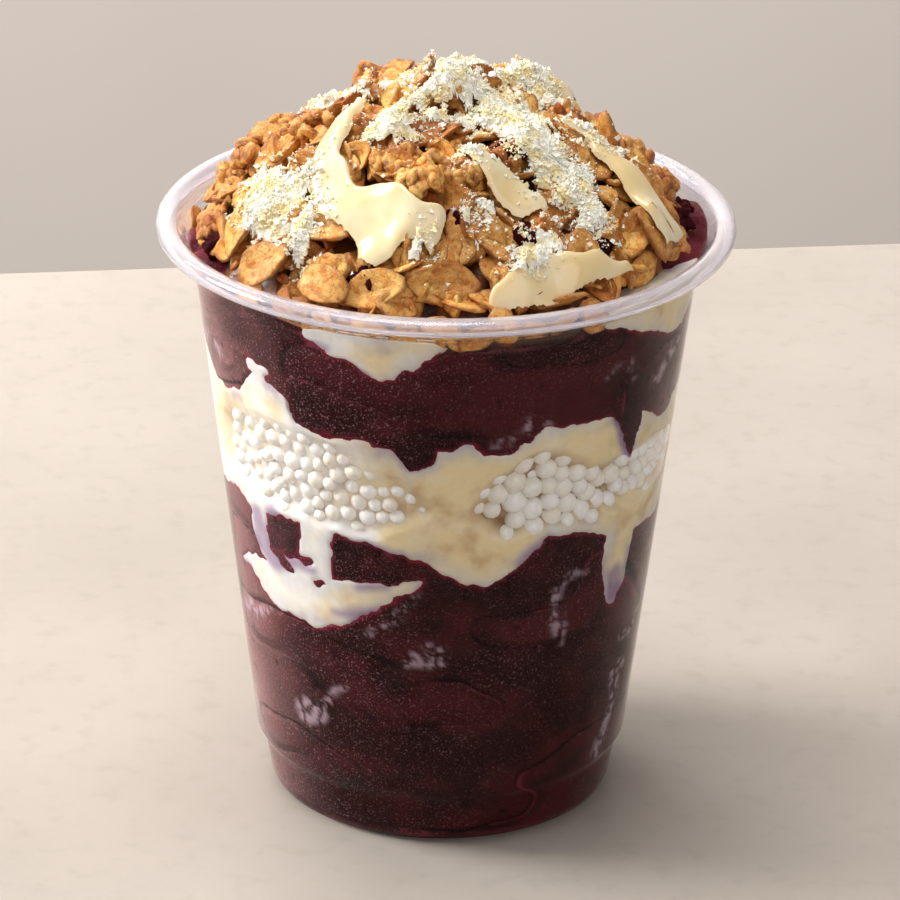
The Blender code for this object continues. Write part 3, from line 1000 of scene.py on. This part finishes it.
@dataclass
class Heap:
    """The heap's own surface, which the toppings lie on."""

    edge_height: float = 98.6
    rise: float = 27.6
    falloff: float = 2.3
    reach: float = 43.4
    swells: tuple[tuple[float, float, float, float], ...] = (
        (-33, -3, 4, 1.0), (-37, -9, 5, 1.0), (-27, 9, 7, -4.2), (-22, 2, 4, -2.6), (-14, 0, 4, 1.2), (-6, 2, 4, -1.6),
        (2, 2, 5, 2.0), (14, 7, 6, -4.0), (-14, 9, 5, -2.6), (27, 9, 7, -3.0), (36, 8, 5, -2.0), (-16, -30, 5, -1.8),
        (12, -30, 5, -2.0), (-5, -25, 6, 1.2), (30, -26, 5, -1.2))
    lumps: Cloud = field(default_factory=lambda: Cloud(41))

    def height(self, x: Points, y: Points) -> Points:
        """Height of the granola under its top flakes."""
        radius = np.hypot(x, y) / self.reach
        dome = self.edge_height + self.rise * (1.0 - np.clip(radius, 0, 1.05) ** self.falloff)
        for centre_x, centre_y, width, rise in self.swells:
            dome = dome + rise * np.exp(-((x - centre_x) ** 2 + (y - centre_y) ** 2) / (2 * width * width))
        spots = np.stack([x, y, np.zeros_like(x)], axis=-1)
        return dome + 1.6 * self.lumps(spots, 8.0) * (1.0 - 0.5 * radius)

    def normal(self, x: float, y: float) -> Points:
        """The way that the heap's surface faces."""
        step = 1.5
        xs = np.array([x - step, x + step, x, x])
        ys = np.array([y, y, y - step, y + step])
        left, right, near, far = self.height(xs, ys)
        facing = np.array([(left - right) / (2 * step), (near - far) / (2 * step), 1.0])
        return facing / np.linalg.norm(facing)

    def build(self, finish: bpy.types.Material) -> bpy.types.Object:
        """The smaller core under the flakes, rough with crumbs."""
        rings = [(41.2 * i / 90, 96.0) for i in range(0, 91, 10)]
        rings += [(41.2 * i / 90, 100.0) for i in range(90, -1, -1)]
        core = turned("granola_core", rings, 300)
        points = read_points(core)
        upper = points[:, 2] > 98.0
        x, y = points[:, 0], points[:, 1]
        crumbs = 1.1 * self.lumps.rough(points * (1, 1, 0), 3.4, 3)
        surface = self.height(x, y) - 3.2 + crumbs
        points[:, 2] = np.where(upper, np.maximum(surface, 97.0), points[:, 2])
        write_points(core, points)
        # Painted shade: the core darkens in its low spots.
        paint(core, "edge", smooth(-crumbs, -0.6, 0.7))
        paint(core, "toast", np.full(len(points), 0.8))
        core.data.materials.append(finish)
        return hand_over(core, "granola", "granola_heap")


HEAP = Heap()


@dataclass
class OatFlake:
    """A rolled oat: an oval flake with a crease along it, ribbed, bent and ragged at its rim."""

    length: float = 9.4
    width: float = 6.6
    thickness: float = 1.6
    crease: float = 0.4
    cup: float = 0.7
    ragged: Cloud = field(default_factory=lambda: Cloud(51))

    def model(self, seed: int) -> tuple[Points, list[tuple[int, ...]], Points]:
        """Shape one flake.

        Args:
            seed: Which flake of its kind.

        Returns:
            Points in millimetres, faces, and how near its rim or crease each point lies.
        """
        deselect()
        bpy.ops.mesh.primitive_uv_sphere_add(segments=24, ring_count=11, radius=MM)
        points, faces = shape_of(bpy.context.object)
        x, y, z = points.T
        rim = np.hypot(x, y)
        spots = points + 13.0 * seed
        side = np.sign(z + 1e-9)
        notches = 0.15 * self.ragged(spots * (1, 1, 0.2), 0.8) + 0.11 * self.ragged(spots, 0.3)
        outline = 1.0 + rim * notches
        wander = y - 0.12 * self.ragged(np.stack([x, 0 * y, 0 * z], axis=-1) + 7.0 * seed, 0.5)
        groove = np.exp(-(wander / 0.08) ** 2) * (1.0 - rim ** 2) * (0.3 + 0.7 * (seed % 3 > 0))
        ribs = self.ragged(spots, (0.9, 0.16, 0.9)) * (1.0 - 0.5 * rim)
        level = side * np.abs(z) ** 0.7 * self.thickness / 2
        level = level * (1.0 + 0.25 * self.ragged(spots, 0.5)) + side * (0.16 * ribs - self.crease * groove)
        flip = 1.0 if seed % 2 else -1.0
        bend = self.cup * (y * y - 0.4 * x * x * flip) + 0.5 * flip * x * y
        shaped = np.stack([x * outline * self.length / 2, y * outline * (1 - 0.12 * x) * self.width / 2,
                           level + bend], axis=-1)
        edge = smooth(rim, 0.8, 1.02) * (0.7 + 0.3 * self.ragged(spots, 0.4))
        edge = edge + 0.8 * smooth(groove, 0.4, 0.9)
        return shaped, faces, np.clip(edge + 0.35 * smooth(-ribs, 0.2, 0.7), 0.0, 1.0)


class Crumb(Enum):
    """Kinds of loose oat pieces: name, length, width, thickness and cupping in millimetres."""

    WHOLE = ("whole_oat_flakes", 9.4, 6.0, 1.6, 0.9)
    CURLED = ("curled_oat_flakes", 8.4, 5.4, 1.5, 1.7)
    BROKEN = ("broken_oat_flakes", 4.6, 3.4, 1.7, 0.6)

    def flake(self) -> OatFlake:
        """The flake that copies of this kind start from."""
        _, length, width, thickness, cup = self.value
        return OatFlake(length, width, thickness, cup=cup)


@dataclass
class Loose:
    """Small shapes gathered for one piece, with their toasting and their dark edges, which on the clusters are painted
    shade.
    """

    shapes: list = field(default_factory=list)
    toasts: list = field(default_factory=list)
    edges: list = field(default_factory=list)

    def add(self, points: Points, faces: list, edge: Points, toast: float) -> None:
        """Take one shape, held inside the wall."""
        limit = WALL.inner_radius(points[:, 2]) - 0.1
        reach = np.hypot(points[:, 0], points[:, 1])
        inward = np.where(points[:, 2] < 103.5, np.minimum(1.0, limit / np.maximum(reach, 1e-6)), 1.0)
        points[:, :2] *= inward[:, None]
        self.shapes.append((points, faces))
        self.toasts.append(np.full(len(points), min(max(toast, 0.0), 1.0)))
        self.edges.append(edge)

    def build(self, name: str, finish: bpy.types.Material, slot: str = "granola") -> bpy.types.Object:
        """Join the shapes to one piece."""
        piece = joined_copies(name, self.shapes)
        paint(piece, "toast", np.concatenate(self.toasts))
        paint(piece, "edge", np.concatenate(self.edges))
        paint(piece, "tone", np.full(len(piece.data.vertices), 0.5))
        piece.data.materials.append(finish)
        return hand_over(piece, slot)


@dataclass
class Granola:
    """Loose oat flakes over the core, and the ones pressed against the wall."""

    seed: int = 7
    layers: tuple[tuple[Crumb, int, float], ...] = (
        (Crumb.WHOLE, 170, 0.0), (Crumb.CURLED, 170, -0.3), (Crumb.BROKEN, 330, -0.2))
    at_wall: tuple[tuple[float, float], ...] = (
        (-30, 97.6), (-27, 99.8), (-21, 98.6), (-17, 100.4), (-9, 99.0), (-3, 98.4), (0, 100.6),
        (4, 98.2), (8, 99.4), (13, 100.8), (19, 100.2), (26, 100.6), (34, 100.2), (-37, 100.4),
        (-48, 100.6), (44, 98.8), (52, 99.4), (130, 99.5), (142, 98.4), (170, 100), (-160, 99.4),
        (-148, 98.4), (-98, 100))
    # Flakes that stand out in front: place, turn about the upright, lean to the viewer and toasting.
    shown: tuple[tuple[float, float, float, float, float, float], ...] = (
        (-10.9, -38.0, 105.6, 22, 0.9, 0.1), (-20.1, -35.0, 105.4, 172, 0.8, 0.2), (-29.5, -28.5, 106.2, 40, 0.7, 0.3),
        (-34.0, -19.5, 108.4, 85, 0.6, 0.1), (-19.0, -27.5, 112.6, 8, 0.4, 0.15), (34.5, -18.6, 108.4, 110, 0.8, 0.35),
        (33.0, -9.5, 112.6, 95, 0.7, 0.4), (3.0, -31.5, 113.0, 100, 0.9, 0.35), (0.0, -36.6, 107.2, 160, 0.9, 0.5),
        (-14.5, -1.5, 126.6, 60, 1.1, 0.3), (26.3, -1.0, 118.6, 100, 1.3, 0.3), (22.0, -30.5, 108.6, 60, 0.8, 0.3),
        (9.0, -31.5, 111.2, 150, 0.8, 0.3), (-4.0, 0.5, 129.0, 15, 0.9, 0.4))

    def build(self, finish: bpy.types.Material) -> list[bpy.types.Object]:
        """Lay each kind of flake."""
        draw = np.random.default_rng(self.seed)
        pieces = []
        for kind, count, lift in self.layers:
            models = [kind.flake().model(i) for i in range(8)]
            loose = Loose()
            for number in range(count):
                self.scatter(models[number % 8], number, count, lift, draw, loose)
            if kind is Crumb.WHOLE:
                self.press(models, draw, loose)
                self.show(models, loose)
            pieces.append(loose.build(kind.value[0], finish))
        return pieces

    @staticmethod
    def scatter(model: tuple, number: int, count: int, lift: float, draw: np.random.Generator,
                loose: Loose) -> None:
        """Lay one flake on the heap, leaning any way."""
        points, faces, edge = model
        reach = min(41.0 * math.sqrt((number + 0.5) / count) + draw.normal(0, 0.8), 39.6)
        turn = number * 2.39996 + draw.uniform(-0.3, 0.3)
        x, y = reach * math.cos(turn), reach * math.sin(turn)
        facing = HEAP.normal(x, y) + draw.normal(0, 0.42, 3)
        matrix = turn_matrix(facing, 0.0, draw.uniform(0, math.tau))
        level = float(HEAP.height(np.array(x), np.array(y))) + lift + draw.uniform(-1.3, 1.0)
        placed = (points * draw.uniform(0.82, 1.1)) @ matrix.T + (x, y, level)
        loose.add(placed, faces, edge * draw.uniform(0.5, 1.0), draw.normal(0.3, 0.33))

    def press(self, models: Sequence[tuple], draw: np.random.Generator, loose: Loose) -> None:
        """Press flakes flat against the wall, under the rim."""
        for number, (angle, height) in enumerate(self.at_wall):
            points, faces, edge = models[number % 8]
            centre = polar(np.array(float(angle)), WALL.inner_radius(height) - 0.9, np.array(height))
            facing = centre * (1, 1, 0) + draw.normal(0, 3.0, 3)
            matrix = turn_matrix(facing, 0.0, draw.uniform(0, math.tau))
            placed = points * draw.uniform(0.6, 0.85) @ matrix.T + centre
            loose.add(placed, faces, edge, draw.normal(0.3, 0.2))

    def show(self, models: Sequence[tuple], loose: Loose) -> None:
        """Lay the flakes that stand out."""
        for number, (x, y, z, turn, lean, toast) in enumerate(self.shown):
            points, faces, edge = models[(3 * number) % 8]
            facing = HEAP.normal(x, y) * (1.0, 1.0, 1.4 - lean)
            matrix = turn_matrix(facing, 0.0, math.radians(turn))
            loose.add(points * 1.1 @ matrix.T + (x, y, z), faces, edge, toast)


@dataclass
class Clusters:
    """Clusters of nubs stuck together: baked oats, or acai that has come up between the flakes."""

    name: str = "baked_clusters"
    slot: str = "granola"
    seed: int = 15
    places: tuple[tuple[float, float, float, float, float], ...] = (
        (-4.0, -25.4, 6.4, 1.2, 0.3), (2.4, -23.4, 4.4, 1.0, 0.5), (-9.5, -22.5, 3.6, 0.6, 0.6),
        (9.4, -18.6, 3.8, 0.8, 1.0), (-31.0, -1.0, 5.6, 1.2, 0.6), (-36.0, 2.0, 3.6, 2.4, 0.4),
        (-22.0, -6.5, 4.4, 1.4, 0.5), (-39.0, -9.5, 3.2, 0.8, 0.7), (34.5, 1.0, 5.0, 0.6, 0.6),
        (27.0, 2.0, 4.2, 1.0, 0.5), (19.0, 0.0, 4.0, 0.8, 0.6), (0.0, -3.5, 4.6, 1.6, 0.5),
        (16.0, -27.0, 3.4, 0.6, 0.6), (24.0, -22.5, 3.4, 0.2, 0.6), (-14.5, -12.0, 4.2, 1.0, 0.6),
        (31.0, 14.0, 5.4, 0.6, 0.5), (12.0, 18.0, 6.0, 0.8, 0.4), (-12.0, 22.0, 5.6, 0.6, 0.6),
        (-27.0, 18.0, 5.0, 0.8, 0.4), (6.0, 33.0, 4.6, 0.4, 0.5), (24.0, 28.0, 4.2, 0.4, 0.7))
    rough: Cloud = field(default_factory=lambda: Cloud(61))

    def build(self, finish: bpy.types.Material) -> bpy.types.Object:
        """Stick nubs all over each cluster."""
        draw = np.random.default_rng(self.seed)
        deselect()
        bpy.ops.mesh.primitive_ico_sphere_add(subdivisions=3, radius=MM)
        ball, faces = shape_of(bpy.context.object)
        loose = Loose()
        for x, y, size, lift, toast in self.places:
            middle = np.array([x, y, float(HEAP.height(np.array(x), np.array(y))) + lift])
            for number in range(int(8 + size * 3)):
                way = draw.normal(0, 1, 3) * (1, 1, 0.7) + (0, 0, 0.25)
                way /= np.linalg.norm(way)
                nub = draw.uniform((1.5, 1.1, 0.8), (2.5, 1.9, 1.3))
                bumps = 1.0 + 0.2 * self.rough.rough(ball * nub + 9.0 * number, 1.1, 3)[:, None]
                matrix = turn_matrix(way + draw.normal(0, 0.5, 3), 0.0, draw.uniform(0, math.tau))
                spread = way * (size - 1.4) * (1.0, 1.0, 0.75) * draw.uniform(0.55, 1.0)
                placed = (ball * nub * bumps) @ matrix.T + middle + spread
                # Painted shade: darker in the dips of each nub's bumpy surface, carried as the edge mark.
                painted_hollow_shade = np.clip(0.95 - smooth(bumps[:, 0], 0.82, 1.02), 0, 1)
                loose.add(placed, faces, painted_hollow_shade, toast + draw.normal(0, 0.2))
        return loose.build(self.name, finish, self.slot)


# Where acai has come up between the flakes: x, y, size and lift, and a toasting, which is none.
ACAI_LUMPS = ((-12.5, -35.6, 3.2, 0.6, 0.0), (-17.0, -34.0, 2.4, 0.4, 0.0), (13.0, -28.8, 3.0, 0.4, 0.0),
              (10.5, -18.4, 2.6, 1.6, 0.0), (25.0, -25.6, 2.4, 0.6, 0.0), (38.6, -4.0, 3.4, 0.6, 0.0),
              (39.2, 5.0, 3.0, 0.4, 0.0), (-38.0, -13.5, 2.2, 0.0, 0.0), (1.5, -29.5, 2.2, 0.2, 0.0),
              (-20.0, 30.0, 3.4, 0.4, 0.0), (30.0, 22.0, 3.0, 0.4, 0.0))


class Ground:
    """Height of whatever lies uppermost on the heap, on an even grid."""

    def __init__(self, pieces: Sequence[bpy.types.Object], step: float = 0.3, reach: float = 43.0) -> None:
        """Measure the height under each grid point."""
        self.step, self.reach = step, reach
        self.axis = np.arange(-reach, reach + step / 2, step)
        self.x, self.y = np.meshgrid(self.axis, self.axis, indexing="ij")
        self.z = np.full(self.x.shape, 90.0)
        for piece in pieces:
            self.add(piece)

    def add(self, piece: bpy.types.Object) -> None:
        """Raise the heights to a piece that lies on top."""
        tree = BVHTree.FromObject(piece, bpy.context.evaluated_depsgraph_get())
        down = Vector((0, 0, -1))
        for index in zip(*np.nonzero(np.hypot(self.x, self.y) < self.reach)):
            place = Vector((self.x[index], self.y[index], 150.0)) * MM
            spot = tree.ray_cast(place, down)[0]
            if spot is not None:
                self.z[index] = max(self.z[index], spot.z / MM)

    def level(self, width: float, grown: int = 0) -> Points:
        """Heights evened out over a width in millimetres, with high spots widened by some grid steps."""
        total = np.maximum(self.z, HEAP.height(self.x, self.y) - 2.5)
        for axis in (0, 1) * grown:
            total = np.max([np.roll(total, shift, axis) for shift in (-1, 0, 1)], axis=0)
        reach = int(math.ceil(2 * width / self.step))
        kernel = np.exp(-(np.arange(-reach, reach + 1) * self.step / width) ** 2 / 2)
        kernel /= kernel.sum()
        for axis in (0, 1):
            total = np.apply_along_axis(
                lambda row: np.convolve(np.pad(row, reach, "edge"), kernel, "valid"), axis, total)
        return total

    def held(self, level: Points, radius: float, fall: float) -> Points:
        """Heights that slope on evenly beyond a radius, instead of dropping at the wall."""
        reach = np.hypot(self.x, self.y)
        inward = np.minimum(1.0, radius / np.maximum(reach, self.step))
        i, j = (np.round((side * inward + self.reach) / self.step).astype(int) for side in (self.x, self.y))
        return level[i, j] - fall * np.maximum(reach - radius, 0.0)

    def sheet(self, name: str, level: Points, inside: Points, tuck: float) -> bpy.types.Object:
        """A surface over the grid cells that lie inside, tucked down round its edge."""
        core = inside.copy()
        for axis, shift in itertools.product((0, 1), (-1, 1)):
            core &= np.roll(inside, shift, axis)
        level = np.where(core, level, level - tuck)
        number = np.arange(inside.size).reshape(inside.shape)
        whole = inside[:-1, :-1] & inside[1:, :-1] & inside[1:, 1:] & inside[:-1, 1:]
        corners = [number[:-1, :-1], number[1:, :-1], number[1:, 1:], number[:-1, 1:]]
        faces = np.stack([corner[whole] for corner in corners], axis=-1)
        used, again = np.unique(faces, return_inverse=True)
        points = np.stack([self.x.ravel(), self.y.ravel(), level.ravel()], axis=-1)[used]
        return joined_copies(name, [(points, [tuple(face) for face in again.reshape(-1, 4).tolist()])])


@dataclass(frozen=True)
class Pour:
    """A streak on the heap: points of x, y and half width, in millimetres."""

    path: tuple[tuple[float, float, float], ...]

    def inside(self, x: Points, y: Points) -> tuple[Points, Points]:
        """How far inside the streak each place is, and the half width there."""
        best, wide = np.full(x.shape, -1e3), np.ones(x.shape)
        for (x0, y0, w0), (x1, y1, w1) in zip(self.path, self.path[1:]):
            run, rise = x1 - x0, y1 - y0
            share = np.clip(((x - x0) * run + (y - y0) * rise) / (run * run + rise * rise), 0, 1)
            width = w0 + (w1 - w0) * share
            depth = width - np.hypot(x - x0 - share * run, y - y0 - share * rise)
            wide = np.where(depth > best, width, wide)
            best = np.maximum(best, depth)
        return best, wide


@dataclass
class Sauce:
    """Condensed milk poured over the granola."""

    pours: tuple[Pour, ...] = (
        Pour(((-15.5, -9, 1.6), (-17.5, -13, 2.8), (-20.5, -19, 3.0), (-18, -24, 3.4), (-14.5, -29, 3.8),
              (-9.5, -33, 3.6), (-4, -34.5, 2.6), (-1.5, -34, 1.4))),
        Pour(((-24, -20, 1.2), (-20.5, -19, 2.4))),
        Pour(((3, -21.5, 1.2), (7.5, -24.5, 2.6), (11.5, -25.5, 2.8), (14.5, -25.5, 1.6))),
        Pour(((20, -7, 1.4), (25.3, -9.5, 2.8), (31.6, -13.6, 3.4), (35.6, -16.6, 3.9),
              (39.4, -16.8, 3.9))),
        Pour(((8.5, -40.3, 2.2), (14, -38.6, 3.8), (20, -36.4, 4.2), (26, -33.0, 3.8), (30, -30.2, 2.4))),
        Pour(((12, -34.5, 1.4), (17, -35.5, 2.4))),
        Pour(((-3.5, -8.5, 1.6), (-1, -8, 1.8), (1, -7, 1.0))),
        Pour(((-6, -12, 1.0), (-9, -16, 1.6), (-10, -19, 1.2))),
        Pour(((-14, 27, 1.6), (-18, 31, 3.0), (-22, 35, 2.6))),
        Pour(((10, 10, 1.8), (18, 16, 3.0), (20, 24, 3.2), (18, 33, 3.0), (21, 37, 2.4))))
    thickness: float = 2.3
    wobble: Cloud = field(default_factory=lambda: Cloud(71))

    def build(self, ground: Ground, finish: bpy.types.Material) -> bpy.types.Object:
        """Let the milk settle over the granola with round edges."""
        x, y = ground.x, ground.y
        spots = np.stack([x, y, np.zeros_like(x)], axis=-1)
        x = x + 1.1 * self.wobble(spots, 4.5)
        y = y + 1.1 * self.wobble(spots + 50.0, 4.5)
        depths, widths = zip(*(pour.inside(x, y) for pour in self.pours))
        best = np.argmax(depths, axis=0)
        depth = np.take_along_axis(np.array(depths), best[None], 0)[0]
        width = np.take_along_axis(np.array(widths), best[None], 0)[0]
        depth = np.minimum(depth, 42.0 - np.hypot(ground.x, ground.y))
        bead = np.sqrt(np.clip(1.0 - (1.0 - np.clip(depth / np.minimum(width, 3.0), 0, 1)) ** 2, 0, 1))
        level = ground.held(ground.level(1.7, 4), 38.2, 1.5) + self.thickness * (bead - 0.5)
        level += 0.4 * self.wobble(spots, 7.0)
        sauce = ground.sheet("condensed_milk", level, depth > 0, 0.9)
        applied(sauce, "SMOOTH", iterations=14, factor=0.5)
        applied(sauce, "SUBSURF", levels=1, render_levels=1)
        sauce.data.materials.append(finish)
        return hand_over(sauce, "cream")


@dataclass
class Powder:
    """Milk powder sifted over the top: relief where it lies thick, and loose grains."""

    drifts: tuple[tuple[float, float, float, float], ...] = (
        (2, -5, 5.0, 0.8), (8, -9, 5.0, 1.2), (13, -12, 4.5, 1.1), (15.5, -17, 4.5, 1.2), (20.5, -20, 4.0, 1.1),
        (23.5, -23.5, 3.0, 1.0), (-3, -11, 3.6, 0.8), (-8, -15.5, 3.4, 0.8), (-12, -17, 2.6, 0.6),
        (-27, -21, 4.0, 1.1), (-30.5, -15, 4.0, 1.1), (-24, -26, 3.4, 0.9), (-31, -21, 3.4, 0.9),
        (3.7, -22.4, 2.2, 0.55), (13.5, -33.5, 3.0, 0.8), (5.5, -30.5, 2.4, 0.6), (18, -30, 2.2, 0.6),
        (24, -7, 3.0, 0.6), (30, -6, 2.4, 0.5), (-3, -36, 2.0, 0.4), (-15, -5, 2.6, 0.5),
        (4, 8, 6.0, 1.0), (-8, 6, 4.0, 0.8), (14, 12, 5.0, 0.9), (-20, 14, 4.0, 0.7), (2, 22, 4.0, 0.6))
    grains: int = 23000
    seed: int = 19
    lace: Cloud = field(default_factory=lambda: Cloud(81))

    def cover(self, x: Points, y: Points) -> Points:
        """How thickly powder lies, from 0 to about 1.2."""
        spread = [share * np.exp(-((x - cx) ** 2 + (y - cy) ** 2) / (2 * (0.85 * width) ** 2))
                  for cx, cy, width, share in self.drifts]
        return np.max(spread, axis=0)

    def build(self, ground: Ground, finish: bpy.types.Material) -> list[bpy.types.Object]:
        """Heap the powder where it lies thick, and strew grains round it."""
        spots = np.stack([ground.x, ground.y, np.zeros_like(ground.x)], axis=-1)
        cover = self.cover(ground.x, ground.y) * smooth(40.5 - np.hypot(ground.x, ground.y), 0.0, 2.0)
        ragged = cover + 0.36 * self.lace.rough(spots, 2.6, 3)
        crumbs = self.lace.rough(spots + 31.0, 1.1, 3)
        level = ground.level(1.1, 1) + 1.1 * smooth(ragged, 0.35, 0.95) + 0.45 * crumbs
        relief = ground.sheet("milk_powder", level, ragged > 0.45, 0.4)
        relief.data.materials.append(finish)
        ground.add(relief)
        return [hand_over(relief, "milk_powder"), self.strew(ground, finish)]

    def strew(self, ground: Ground, finish: bpy.types.Material) -> bpy.types.Object:
        """Loose grains, most of them round the thick places."""
        draw = np.random.default_rng(self.seed)
        count = self.grains * 8
        x, y = draw.uniform(-42, 42, count), draw.uniform(-42, 42, count)
        chance = np.clip(self.cover(x, y) * 1.2, 0.012, 1.0) ** 1.4
        kept = np.flatnonzero((draw.uniform(0, 1, count) < chance) & (np.hypot(x, y) < 40.0))[:self.grains]
        deselect()
        bpy.ops.mesh.primitive_cone_add(vertices=4, radius1=1.1 * MM, depth=1.7 * MM)
        ball, faces = shape_of(bpy.context.object)
        i = np.round((x[kept] + ground.reach) / ground.step).astype(int)
        j = np.round((y[kept] + ground.reach) / ground.step).astype(int)
        sizes = 0.13 + 0.37 * draw.uniform(0, 1, len(kept)) ** 4
        shapes = []
        for number, index in enumerate(kept):
            if ground.z[i[number], j[number]] < 97.0:
                continue
            turn = turn_matrix(draw.normal(0, 1, 3), 0.0, 0.0)
            jagged = ball * draw.uniform(0.6, 1.5, (len(ball), 1)) * sizes[number] @ turn.T
            shapes.append((jagged + (x[index], y[index], ground.z[i[number], j[number]] + 0.1), faces))
        grains = joined_copies("powder_grains", shapes)
        grains.data.shade_flat()
        grains.data.materials.append(finish)
        return hand_over(grains, "milk_powder")


# --------------------------------------------------------------------------------------- stage


@dataclass
class Studio:
    """Floor, far wall, lights and camera."""

    distance: float = 900.0
    elevation: float = 24.42
    lens: float = 208.2
    roll: float = 0.71
    aim: tuple[float, float, float] = (1.1, 0.0, 60.6)
    pivot: float = 50.0
    back: float = 0.236
    skew: float = 7.0
    slab: tuple[float, float] = (3.2, 1.5)

    def build(self) -> None:
        """Set the stage."""
        self.floor()
        self.lights()
        self.camera()
        scene = bpy.context.scene
        scene.view_settings.view_transform = "Standard"

    def floor(self) -> None:
        """A pale slab whose far edge comes a little nearer on the left, and a wall well behind it."""
        width, depth = self.slab
        centre = (0, self.back - depth / 2, -0.0002)
        self.board("floor", (width, depth), centre, pale_floor(), turn=(0, 0, math.radians(self.skew)))
        self.board("far_wall", (7.0, 4.0), (0, 1.6, 0.1), wall_paint(), turn=(math.pi / 2, 0, 0))

    @staticmethod
    def board(name: str, size: tuple[float, float], place: tuple[float, float, float],
              finish: bpy.types.Material, turn: tuple[float, float, float]) -> None:
        """A flat board of the stage, in metres and radians."""
        deselect()
        bpy.ops.mesh.primitive_plane_add(size=1.0, location=place, rotation=turn)
        board = bpy.context.object
        board.name = name
        board.scale = (*size, 1.0)
        bpy.ops.object.transform_apply(location=True, rotation=True, scale=True)
        board.data.materials.append(finish)
        board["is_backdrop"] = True

    @staticmethod
    def lamp(name: str, place: tuple[float, float, float], size: float, power: float,
             aim: Vector = Vector((0, 0, 0.08))) -> None:
        """A soft white lamp, turned to the cup unless it has another aim."""
        data = bpy.data.lights.new(name, "AREA")
        data.shape = "DISK"
        data.size = size
        data.energy = power
        lamp = bpy.data.objects.new(name, data)
        bpy.context.scene.collection.objects.link(lamp)
        lamp.location = place
        lamp.rotation_mode = "QUATERNION"
        lamp.rotation_quaternion = (aim - Vector(place)).to_track_quat("-Z", "Y")

    def lights(self) -> None:
        """A large key from the upper left, a weak fill, and an even white surround."""
        self.lamp("key", (-0.8, 0.12, 0.62), 0.45, 10.5)
        self.lamp("top", (-0.15, 0.0, 1.2), 0.7, 8.0)
        self.lamp("fill", (0.6, -1.2, 0.7), 0.9, 3.2)
        self.lamp("wall", (-0.5, 0.85, 0.9), 0.8, 25.0, Vector((-0.2, 1.6, 0.1)))
        world = bpy.data.worlds.new("surround")
        world.use_nodes = True
        world.node_tree.nodes["Background"].inputs["Color"].default_value = (1, 1, 1, 1)
        world.node_tree.nodes["Background"].inputs["Strength"].default_value = 0.3
        bpy.context.scene.world = world

    def camera(self) -> None:
        """Look down on the cup from the front, with a slight roll."""
        tilt = math.radians(self.elevation)
        height = self.pivot + self.distance * math.sin(tilt)
        place = Vector((0, -self.distance * math.cos(tilt), height)) * MM
        aim = Vector(self.aim) * MM
        data = bpy.data.cameras.new("camera")
        data.lens = self.lens
        data.clip_start = 0.05
        data.clip_end = 20.0
        camera = bpy.data.objects.new("camera", data)
        bpy.context.scene.collection.objects.link(camera)
        look = (aim - place).to_track_quat("-Z", "Y").to_matrix()
        look = look @ Matrix.Rotation(math.radians(self.roll), 3, "Z")
        camera.matrix_world = Matrix.Translation(place) @ look.to_4x4()
        bpy.context.scene.camera = camera


def write_sizes() -> None:
    """Work out the boxes of the frame and of the finished model, in metres."""
    found = {"cad": CAD_BOX, "visual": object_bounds()}
    boxes = {name: [list(corner) for corner in box] for name, box in found.items()}


def main() -> None:
    """Build the pieces in order."""
    logging.basicConfig(level=logging.INFO, format="%(message)s")
    acai, cream = frozen_acai(), milk_cream()
    WALL.build()
    AcaiBody("lower_acai", "acai_lower", 2.2, 63.0, foot=WALL.bed()).build(acai)
    AcaiBody("upper_acai", "acai_upper", 68.0, 101.0, crown=7.0, rings=60).build(acai)
    CreamBody("milk_cream", 38.0, 89.0, LAYOUT.milk).build(cream, "cream_layer")
    CreamBody("milk_under_rim", 88.0, 102.6, LAYOUT.top_milk, MILK_TOP).build(cream)
    PEARLS.build(tapioca())
    baked, oat = baked_cluster(), toasted_oat()
    core = HEAP.build(baked)
    lumps = Clusters("acai_lumps", "acai", 16, ACAI_LUMPS).build(acai)
    ground = Ground([core, *Granola().build(oat), Clusters().build(oat), lumps])
    sauce = Sauce().build(ground, condensed_milk())
    ground.add(sauce)
    Powder().build(ground, milk_powder())
    Studio().build()
    write_sizes()


if __name__ == "__main__":
    main()
